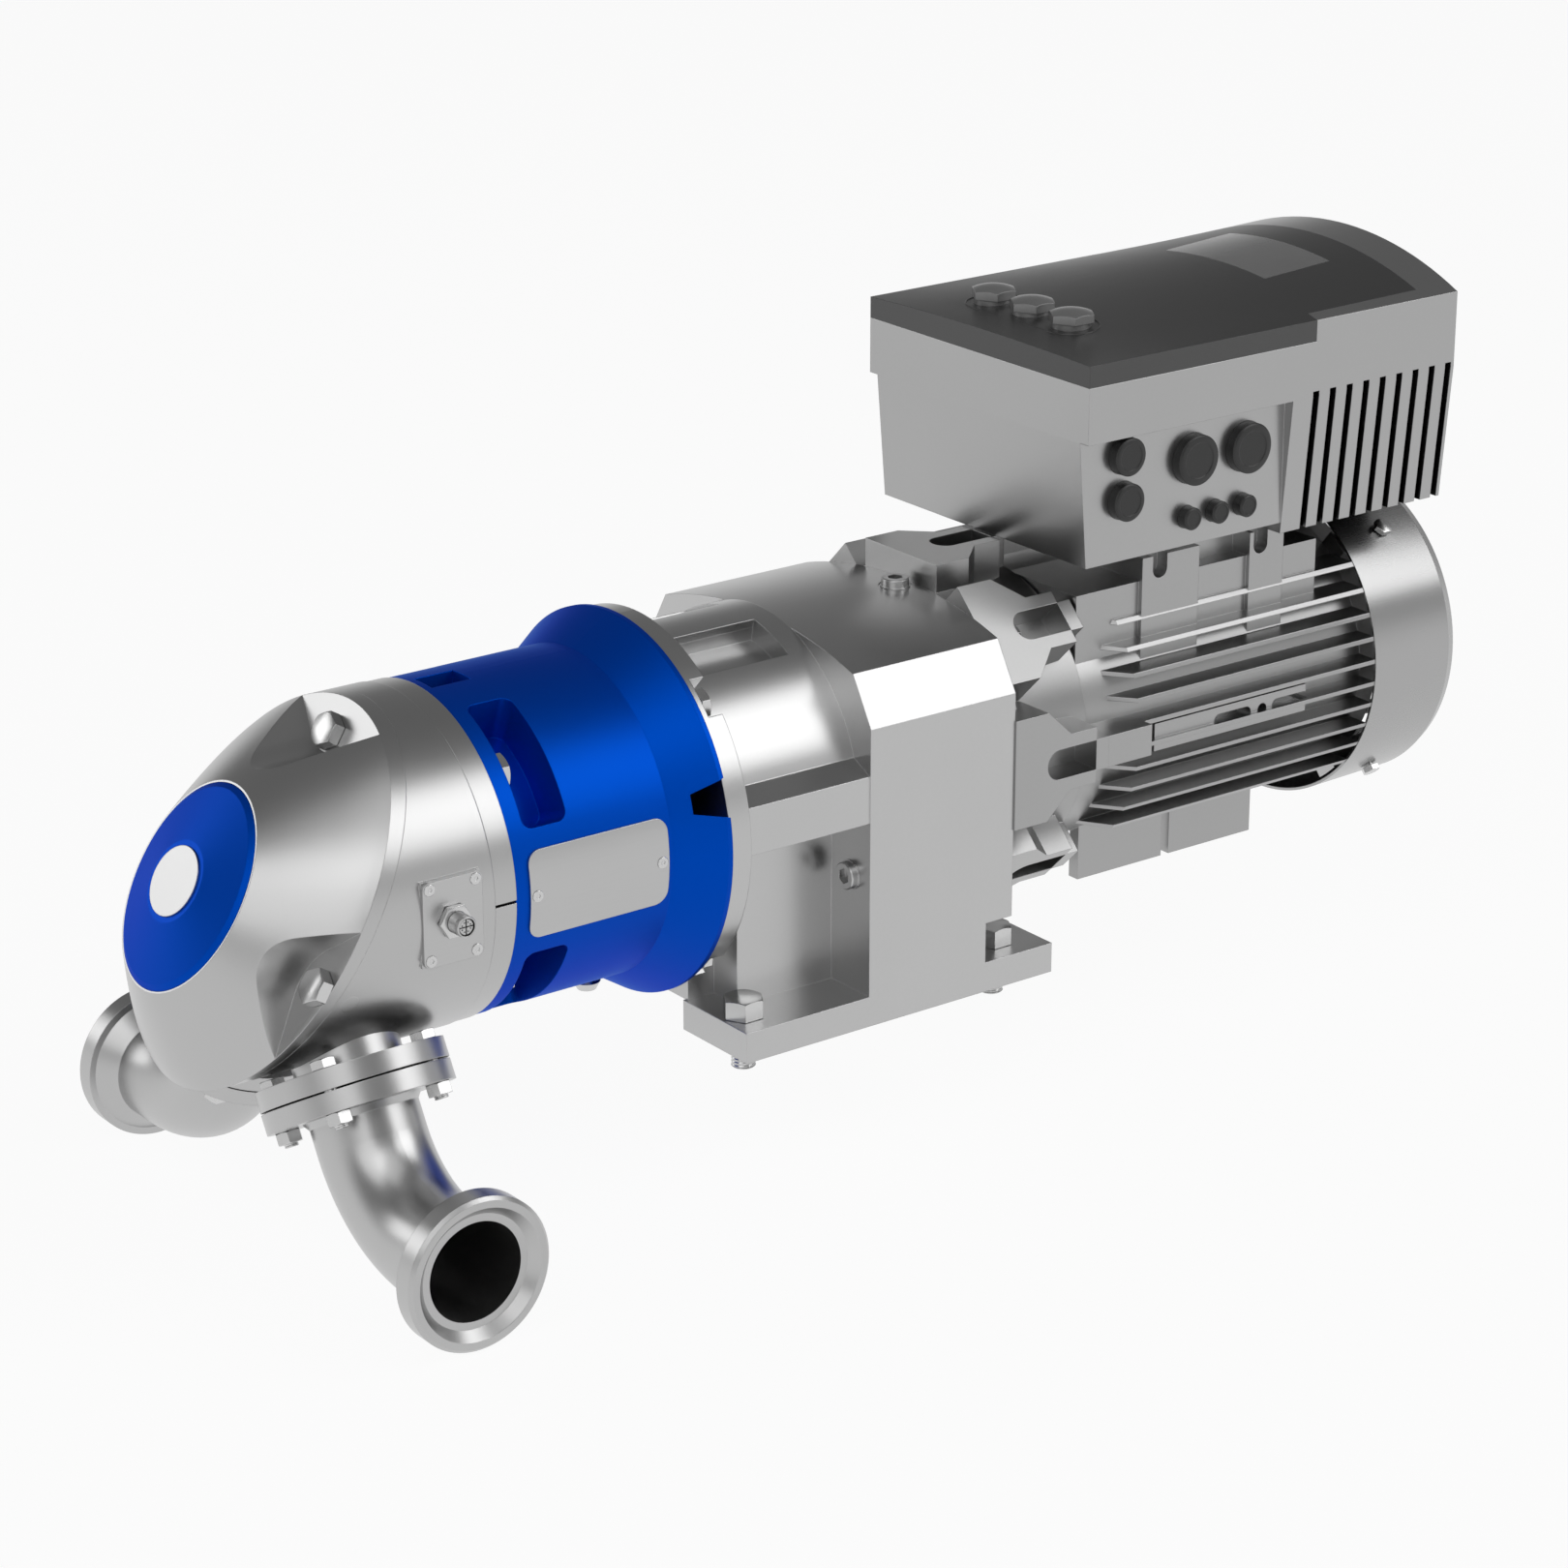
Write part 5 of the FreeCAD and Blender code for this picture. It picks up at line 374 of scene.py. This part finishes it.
def measured(points, axis, flats):
    """The middle of the head's seat, the axis towards the head, a corner's way, shank length.

    The middle is put together from the half-way points of the spans in 12 directions.
    The head's corners are the points that reach furthest from it.
    """
    axis = np.array(axis, float) / np.linalg.norm(axis)
    along = points @ axis
    across = points - np.outer(along, axis)
    side = np.cross(axis, ASKEW)
    side /= np.linalg.norm(side)
    turns = [np.cos(angle) * side + np.sin(angle) * np.cross(axis, side)
             for angle in np.arange(MIDDLE_TURNS) * np.pi / MIDDLE_TURNS]
    spans = [((across @ turn).max() + (across @ turn).min()) / 2 for turn in turns]
    middle = sum(span * turn for span, turn in zip(spans, turns)) / (MIDDLE_TURNS / 2)
    reach = np.linalg.norm(across - middle, axis=1)
    head = reach > flats / np.sqrt(3) * CORNER_SHARE
    low, high = along[head].min(), along[head].max()
    if high + low < along.max() + along.min():
        return measured(points, -axis, flats)
    corner = (across - middle)[head][0]
    return middle + axis * low, axis, corner, low - along.min()


# Fasteners, worked out as rings of points round an axis

AROUND = 96
ANGLES = np.arange(AROUND) * 2 * np.pi / AROUND
WASHER_SHARE = 0.96
WASHER_LIFT = 0.0003
CHAMFER_SLOPE = 0.45
TIP_SHARE, RIM_SHARE = 0.12, 0.08
THREAD_DEPTH_SHARE = 0.6
SOCKET_DEPTH_SHARE = 0.8
FOOT_SHARE = 1.6


def hexagon_reach(flats):
    """Distance from the middle of a hexagon to its edge, a corner lying at angle 0."""
    return flats / 2 / np.cos(ANGLES % (np.pi / 3) - np.pi / 6)


def turned_rings(levels, at, axis, corner):
    """Rings round an axis. A level is (height, reach), the reach one value or one per angle.

    A point is the place, the height along the axis, and the reach times the cosine of its
    angle towards the corner and times the sine beside it.
    """
    axis = Vector(axis).normalized()
    corner = (Vector(corner) - axis * axis.dot(Vector(corner))).normalized()
    beside = axis.cross(corner)
    heights, reaches = (np.stack([np.broadcast_to(value, ANGLES.shape) for value in values])
                        for values in zip(*levels))
    return (np.array(at) + heights[..., None] * np.array(axis)
            + (reaches * np.cos(ANGLES))[..., None] * np.array(corner)
            + (reaches * np.sin(ANGLES))[..., None] * np.array(beside))


def hexagon_edge(flats):
    """A hexagon's reach, the radius of its washer face, and the drop of its chamfer.

    The drop is the slope times the reach beyond the washer face, which gives the six arcs
    of a turned hexagon.
    """
    edge = hexagon_reach(flats)
    circle = flats / 2 * WASHER_SHARE
    return edge, circle, (edge - circle) * CHAMFER_SLOPE


def hex_head(flats, height):
    """Levels of a hexagon head: washer face, six sides, and a crown chamfered all round."""
    edge, circle, drop = hexagon_edge(flats)
    return [(0, circle), (WASHER_LIFT, circle), (WASHER_LIFT, edge), (height - drop, edge),
            (height, circle)]


def thread_levels(start, end, radius, pitch, depth):
    """Levels of a helical thread, eight to a turn.

    The reach is the radius less a triangular wave of the turn along the helix.
    """
    stations = np.arange(start, end, pitch / 8)
    turns = (stations[:, None] / pitch - ANGLES / (2 * np.pi)) % 1
    return list(zip(stations, radius - depth * (0.5 - np.abs(turns - 0.5))))


def shank(radius, length, pitch=0.0, thread=0.0):
    """Levels of a shank from its tip: chamfer, a thread where it has one, and run."""
    tip = radius * TIP_SHARE
    levels = [(-length, radius - tip), (-length + tip, radius)]
    if thread:
        levels += thread_levels(-length + tip, -length + thread, radius, pitch,
                                THREAD_DEPTH_SHARE * pitch)
    return levels + [(0, radius)]


def socket_head(radius, height, flats, depth):
    """Levels of a round head with a hexagon socket, from its edge to the socket's floor."""
    hole = hexagon_reach(flats)
    rim = radius * RIM_SHARE
    return [(0, radius), (height - rim, radius), (height, radius - rim), (height, hole),
            (height - depth, hole)]


def bolts(name, flats, head, radius, axis, pitch=0.0, thread=0.0, shorter=0.0):
    """Detailed bolts in place of a node's plain ones, their shanks shorter by an amount."""
    blocks = []
    for points in islands(name):
        way = axis(points.mean(axis=0)) if callable(axis) else axis
        seat, way, corner, length = measured(points, way, flats)
        levels = shank(radius, length - shorter, pitch, thread) + hex_head(flats, head)
        blocks.append((turned_rings(levels, seat, way, corner), False))
    add_piece(f"{name}_detail", blocks, "bright_fastener", [name])


def nuts(name, flats, hole, axis):
    """Nuts chamfered on both faces in place of a node's plain ones."""
    edge, circle, drop = hexagon_edge(flats)
    blocks = []
    for points in islands(name):
        way = axis(points.mean(axis=0)) if callable(axis) else axis
        seat, way, corner, _ = measured(points, way, flats)
        height = np.ptp(points @ way)
        levels = [(0, hole), (0, circle), (drop, edge), (height - drop, edge), (height, circle),
                  (height, hole)]
        blocks.append((turned_rings(levels, seat, way, corner), True))
    add_piece(f"{name}_detail", blocks, "bright_fastener", [name])


def round_heads(name, radius, head, flats, axis, stem, slot, collar=0.0):
    """Round heads with a hexagon socket in place of a node's plain ones.

    With a collar the head is as wide as the stem and stands on a wider, thin ring.
    """
    blocks = []
    for points in islands(name):
        seat, way, corner, length = measured(points, axis, radius * np.sqrt(3))
        levels = [(-length, stem), (-0.0001, stem)]
        if collar:
            foot = collar * FOOT_SHARE
            levels += [(0, radius), (collar, radius), (collar, stem), (foot, stem)]
            top = socket_head(stem, head - foot, flats, head * SOCKET_DEPTH_SHARE)
            levels += [(height + foot, reach) for height, reach in top[1:]]
        else:
            levels += socket_head(radius, head, flats, head * SOCKET_DEPTH_SHARE)
        blocks.append((turned_rings(levels, seat, way, corner), False))
    add_piece(f"{name}_detail", blocks, slot, [name])


def port_axis(middle):
    """The line of the port on the side where a point lies, upwards into the casing."""
    return (0, -0.5 * np.sign(middle[1]), 0.8660254)


def outward(middle):
    """The way from the shaft's line to a point."""
    return (0, middle[1], middle[2] - SHAFT_Z)


bolts("front_cover_bolts", flats=COVER_BOLT_FLATS, head=0.0075, radius=0.006,
      axis=COVER_AXIS, shorter=0.008)
bolts("lantern_bolts", flats=0.018, head=0.0075, radius=0.006, axis=REAR)
bolts("ring_bolts", flats=0.016, head=0.0064, radius=0.005, axis=REAR)
bolts("adapter_bolts", flats=0.013, head=0.0053, radius=0.004, axis=REAR)
bolts("foot_bolts", flats=0.021, head=0.0115, radius=0.007, axis=UP, pitch=0.002,
      thread=0.0105)
bolts("port_flange_bolts", flats=0.013, head=0.0053, radius=0.004, axis=port_axis,
      pitch=0.00125, thread=0.0018)
bolts("fan_cover_screws", flats=0.010, head=0.004, radius=0.003, axis=outward)
nuts("port_flange_nuts", flats=0.013, hole=0.00402, axis=port_axis)
nuts("sensor_socket_nut", flats=0.017, hole=0.00602, axis=NEAR)
round_heads("plate_screws", radius=0.0034, head=0.0006, flats=0.0024, axis=NEAR, stem=0.002,
            slot="bright_fastener")
round_heads("vent_plug", radius=0.0087, head=0.0056, flats=0.008, axis=UP, stem=0.008,
            slot="machined_steel", collar=0.0008)
round_heads("gearbox_drain_plug", radius=0.0087, head=0.005, flats=0.008, axis=FRONT,
            stem=0.008, slot="machined_steel", collar=0.0008)


# Cable plugs, sensor socket, line on the lid, casing and gearbox neck

PLUG_RIM = ((0.0009, 1, 0), (0.0002, 1, 0.0007), (0, 1, 0.0012), (0, 0.72, 0),
            (0.0004, 0.68, 0))


def gland_plug_detail():
    """Plugs with a chamfered rim and a shallow dished face.

    A row of the rim is a drop below the face, a share of the radius, and an inset.
    """
    blocks = []
    for points in islands("gland_plugs"):
        radius = np.ptp(points[:, 0]) / 2
        seat, way, corner, _ = measured(points, NEAR, radius * np.sqrt(3))
        high = np.ptp(points[:, 1])
        levels = [(0, radius)]
        levels += [(high - drop, radius * share - inset) for drop, share, inset in PLUG_RIM]
        blocks.append((turned_rings(levels, seat, way, corner), False))
    add_piece("gland_plugs_detail", blocks, "black_plastic", ["gland_plugs"])


BARREL_RADIUS, BARREL_PITCH, BARREL_THREAD_DEPTH = 0.006, 0.001, 0.0007
BARREL_THREAD_START, BARREL_THREAD_END = 0.0115, 0.003
MOUTH_DEPTH, MOUTH_CHAMFER = 0.002, 0.0004
INSERT_RADIUS, INSERT_HEIGHT = 0.0047, 0.0004
QUARTER_REACH, QUARTER_CIRCLE, CROSS_HALF = 0.0022, 0.0043, 0.00035
QUARTER_TOP, QUARTER_CHAMFER = 0.0012, 0.0001
CONTACT_REACH, CONTACT_ASIDE, CONTACT_RADIUS = 0.0026, 0.001, 0.0004


def sensor_barrel(tail, length):
    """A barrel with a helical thread and an open mouth, from its tail in the wall."""
    start, end = length - BARREL_THREAD_START, length - BARREL_THREAD_END
    levels = [(0, BARREL_RADIUS), (start, BARREL_RADIUS)]
    levels += thread_levels(start, end, BARREL_RADIUS, BARREL_PITCH, BARREL_THREAD_DEPTH)
    levels += [(end, 0.0059), (length - MOUTH_CHAMFER, 0.0059), (length, 0.0055),
               (length, 0.0049), (length - MOUTH_DEPTH, 0.0048)]
    add_piece("sensor_socket_detail", [(turned_rings(levels, tail, NEAR, UP), False)],
              "machined_steel", ["sensor_socket"])


def sensor_socket_detail():
    """A threaded barrel, a black insert, and four quarter plates with two contacts each.

    A quarter plate reaches from its middle to two lines beside the cross or to the outer
    circle, whichever comes first.
    """
    low, high = (np.array(corner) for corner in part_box("sensor_socket"))
    middle = (low + high) / 2
    length = high[1] - low[1]
    tail = np.array((middle[0], high[1], middle[2]))
    floor = length - MOUTH_DEPTH
    sensor_barrel(tail, length)
    insert = [(floor, INSERT_RADIUS), (floor + INSERT_HEIGHT, INSERT_RADIUS)]
    add_piece("sensor_insert", [(turned_rings(insert, tail, NEAR, UP), False)], "black_plastic")
    along, aside = np.cos(ANGLES), np.sin(ANGLES)
    far = QUARTER_REACH * along
    circle = -far + np.sqrt(far ** 2 - QUARTER_REACH ** 2 + QUARTER_CIRCLE ** 2)
    to_cross = QUARTER_REACH / np.sqrt(2) - CROSS_HALF
    edges = [np.where(way < 0, to_cross / np.maximum(-way, 1e-6), 1)
             for way in ((along + aside) / np.sqrt(2), (along - aside) / np.sqrt(2))]
    reach = np.minimum(circle, np.minimum(*edges))
    plate = [(floor + INSERT_HEIGHT, reach), (floor + QUARTER_TOP - QUARTER_CHAMFER, reach),
             (floor + QUARTER_TOP, reach - QUARTER_CHAMFER)]
    contact = [(floor + 0.001, CONTACT_RADIUS), (floor + 0.00125, CONTACT_RADIUS)]
    plates, contacts = [], []
    for quarter in range(4):
        turn = (quarter + 0.5) * np.pi / 2
        ahead = np.array((np.sin(turn), 0, np.cos(turn)))
        beside = np.array((np.cos(turn), 0, -np.sin(turn)))
        plates.append((turned_rings(plate, tail + ahead * QUARTER_REACH, NEAR, ahead), False))
        for side in (-1, 1):
            place = tail + ahead * CONTACT_REACH + beside * side * CONTACT_ASIDE
            contacts.append((turned_rings(contact, place, NEAR, UP), False))
    add_piece("sensor_quarters", plates, "machined_steel")
    add_piece("sensor_contacts", contacts, "black_plastic")


BORDER_REACH, BORDER_STEPS = 0.0165, 32
BORDER_TUBE, BORDER_SIDES = 0.00045, 8


def lid_cap_border():
    """A fine raised line round the three lid caps: a small tube along two runs and two arcs.

    Each place of the path is dropped onto the lid. The tube's ring there is its radius times
    the cosine across the path and times the sine upwards.
    """
    lid = frame["nodes"]["inverter_lid"].data
    tree = BVHTree.FromPolygons(mesh_points(lid).tolist(), mesh_faces(lid))
    caps = [points.mean(axis=0) for points in islands("lid_caps")]
    caps.sort(key=lambda place: place[1])
    first, last = caps[0][:2], caps[-1][:2]
    run = (last - first) / np.linalg.norm(last - first)
    side = np.array((run[1], -run[0]))
    arc = np.linspace(0, np.pi, BORDER_STEPS)[:, None]
    bend = BORDER_REACH * (np.cos(arc) * side + np.sin(arc) * run)
    path = np.concatenate((last + bend, first - bend))
    ahead = np.roll(path, -1, axis=0) - np.roll(path, 1, axis=0)
    ahead /= np.linalg.norm(ahead, axis=1)[:, None]
    across = np.stack((ahead[:, 1], -ahead[:, 0], np.zeros(len(path))), axis=-1)
    hits = np.array([tree.ray_cast(Vector((*place, 1.0)), Vector((0, 0, -1)))[0]
                     for place in path])
    turn = (np.arange(BORDER_SIDES) * 2 * np.pi / BORDER_SIDES)[:, None]
    rings = hits[:, None] + BORDER_TUBE * (np.cos(turn) * across[:, None]
                                           + np.sin(turn) * np.array(UP))
    add_piece("lid_cap_border", [(rings, True)], "dark_lid")


SKIN_REACH, SKIN_HEIGHT = 0.0055, 0.00008
SKIN_SHARES = (0.8, 0.6, 0.4, 0.2, 0.05)
TIP_SETBACK = 0.0025
TOP_BOLT_HALF = 0.01


def casing_skins():
    """A thin skin over the two places where a cover bolt's hole reaches the casing's barrel.

    A point at a reach and an angle round the middle lies along the barrel by the reach times
    the cosine and round it by the reach times the sine. The edge dips below the barrel.
    """
    levels = [(SKIN_REACH, -0.0008), (SKIN_REACH, -0.0002), (SKIN_REACH - 0.0003, 0.00006)]
    levels += [(share * SKIN_REACH, SKIN_HEIGHT) for share in SKIN_SHARES]
    reach, height = np.array(levels).T[..., None]
    radius = HEAD_RADIUS + height
    blocks = []
    for points in islands("front_cover_bolts"):
        seat, axis, _, length = measured(points, COVER_AXIS, COVER_BOLT_FLATS)
        middle = seat - axis * (length - TIP_SETBACK) - np.array((0, 0, SHAFT_Z))
        if abs(middle[1]) < TOP_BOLT_HALF:
            continue
        turn = np.arctan2(middle[2], middle[1]) + reach * np.sin(ANGLES) / HEAD_RADIUS
        rings = np.stack((middle[0] + reach * np.cos(ANGLES), radius * np.cos(turn),
                          SHAFT_Z + radius * np.sin(turn)), axis=-1)
        blocks.append((rings, False))
    add_piece("casing_skins", blocks, "satin_stainless")


GROOVE_START, GROOVE_END = RING_X + 0.0138, RING_X + 0.08395
GROOVE_INNER, GROOVE_OUTER = 0.0893, 0.1
GROOVE_ANGLES = (10.05, 30.95)
GROOVE_STEPS = 24


def neck_grooves():
    """The gearbox housing with the two grooves in its neck open to the outside.

    The housing's solid has the grooves under a skin. A copy of its mesh is merged, and two
    pieces of a ring are cut from it. A cutter's outline goes along one arc about the shaft
    and back along another: y is the radius times the sine, z the radius times the cosine.
    """
    arc = np.radians(np.linspace(*GROOVE_ANGLES, GROOVE_STEPS))
    angle = np.concatenate((arc, arc[::-1]))
    radius = np.repeat((GROOVE_INNER, GROOVE_OUTER), len(arc))
    blocks = []
    for side in (-1, 1):
        rings = [np.stack((np.full(angle.shape, x), side * radius * np.sin(angle),
                           SHAFT_Z + radius * np.cos(angle)), axis=-1)
                 for x in (GROOVE_START, GROOVE_END)]
        blocks.append((np.array(rings[::side]), False))
    cutter = shown_object("neck_cutter", ring_mesh("neck_cutter", blocks))
    whole = bmesh.new()
    whole.from_mesh(frame["nodes"]["gearbox_housing"].data)
    bmesh.ops.remove_doubles(whole, verts=whole.verts, dist=1e-6)
    merged = bpy.data.meshes.new("neck_merged")
    whole.to_mesh(merged)
    whole.free()
    block = shown_object("neck_block", merged)
    cut = block.modifiers.new("cut", "BOOLEAN")
    cut.operation = "DIFFERENCE"
    cut.solver = "EXACT"
    cut.object = cutter
    shape = block.evaluated_get(bpy.context.evaluated_depsgraph_get()).to_mesh()
    opened = bpy.data.meshes.new("gearbox_housing_open")
    opened.from_pydata(mesh_points(shape).tolist(), [], mesh_faces(shape))
    for made in (cutter, block):
        bpy.data.objects.remove(made)
    add_piece("gearbox_housing_open", opened, "light_alloy", ["gearbox_housing"], sharp=18)


gland_plug_detail()
sensor_socket_detail()
lid_cap_border()
casing_skins()
neck_grooves()


# Stage: a pale floor, a studio room, soft lamps and the camera

FLOOR_HALF, FLOOR_GAP = 6.0, 0.002
FLOOR_GLOW = 0.94
ROOM_STRENGTH = 0.45
ROOM_STOPS = [(0.0, 0.9), (0.06, 0.75), (0.3, 0.22), (1.0, 0.17)]
AZIMUTH, ELEVATION = np.radians(-36.8852), np.radians(20.4104)
TARGET = (0.0016, 0, 0.1105)
DISTANCE = 2.5775
FOCAL_PIXELS, IMAGE_PIXELS = 4621.564, 1620
SENSOR_MM = 36


def seen_or_mirrored(tree):
    """1 where a ray comes from the camera, or off a glossy or clear surface."""
    ray = tree.nodes.new("ShaderNodeLightPath")
    seen = Value(tree, ray.outputs["Is Camera Ray"])
    for kind in ("Is Glossy Ray", "Is Transmission Ray"):
        seen = seen.math("MAXIMUM", seen, Value(tree, ray.outputs[kind]))
    return seen


def stage_floor():
    """A square of white paper just below the machine's lowest point."""
    mesh = bpy.data.meshes.new("floor")
    half, low = FLOOR_HALF, cad_box[0][2] - FLOOR_GAP
    mesh.from_pydata([(-half, -half, low), (half, -half, low), (half, half, low),
                      (-half, half, low)], [], [(0, 1, 2, 3)])
    floor = shown_object("floor", mesh)
    material, shader, _ = start_finish("floor_paper")
    connect(shader, Base_Color=(0.8, 0.8, 0.8, 1), Roughness=0.8)
    tree = material.node_tree
    glow = tree.nodes.new("ShaderNodeEmission")
    mix = tree.nodes.new("ShaderNodeMixShader")
    tree.links.new((seen_or_mirrored(tree) * FLOOR_GLOW).socket, mix.inputs[0])
    tree.links.new(shader.outputs[0], mix.inputs[1])
    tree.links.new(glow.outputs[0], mix.inputs[2])
    tree.links.new(mix.outputs[0], tree.nodes["Material Output"].inputs[0])
    mesh.materials.append(material)


def room_light():
    """A studio room: white round the horizon, dim overhead, weaker as light than it looks."""
    world = bpy.data.worlds.new("studio")
    bpy.context.scene.world = world
    world.use_nodes = True
    tree = world.node_tree
    way = Value(tree, tree.nodes.new("ShaderNodeTexCoord").outputs["Generated"])
    height = way.node("ShaderNodeSeparateXYZ", None, {0: way}, 2)
    room = height.node("ShaderNodeValToRGB", {"stops": ROOM_STOPS}, {0: height})
    strength = seen_or_mirrored(tree) * (1 - ROOM_STRENGTH) + ROOM_STRENGTH
    back = tree.nodes["Background"]
    tree.links.new(room.socket, back.inputs[0])
    tree.links.new(strength.socket, back.inputs[1])


def turned_to(made, at, way):
    """Put a lamp or the camera at a place, looking along a way."""
    made.location = at
    made.rotation_euler = way.to_track_quat("-Z", "Y").to_euler()


def lamp(name, at, aim, size, power):
    """A soft rectangular lamp at a place, aimed at a point, its power in watts."""
    light = bpy.data.lights.new(name, "AREA")
    light.shape = "RECTANGLE"
    light.size, light.size_y = size
    light.energy = power
    turned_to(shown_object(name, light), at, Vector(aim) - Vector(at))


def camera():
    """The camera at the photograph's place, looking at the middle of the machine."""
    back = Vector((np.sin(AZIMUTH) * np.cos(ELEVATION), -np.cos(AZIMUTH) * np.cos(ELEVATION),
                   np.sin(ELEVATION)))
    lens = bpy.data.cameras.new("camera")
    lens.lens = FOCAL_PIXELS / IMAGE_PIXELS * SENSOR_MM
    lens.sensor_width = SENSOR_MM
    lens.clip_end = 50
    eye = shown_object("camera", lens)
    turned_to(eye, Vector(TARGET) + back * DISTANCE, -back)
    bpy.context.scene.camera = eye


stage_floor()
room_light()
lamp("key", at=(1.7, -1.9, 2.0), aim=(0, 0, 0.1), size=(2.4, 2.0), power=34)
lamp("fill", at=(-1.9, 2.3, 1.1), aim=(-0.1, 0, 0.1), size=(1.6, 1.2), power=11)
lamp("left", at=(-2.4, -1.5, 2.0), aim=(-0.1, 0, 0.1), size=(2.6, 2.4), power=24)
lamp("over", at=(-0.9, -1.3, 2.9), aim=(0, 0, 0.1), size=(2.4, 2.4), power=14)
camera()
bpy.context.scene.view_settings.view_transform = "Standard"
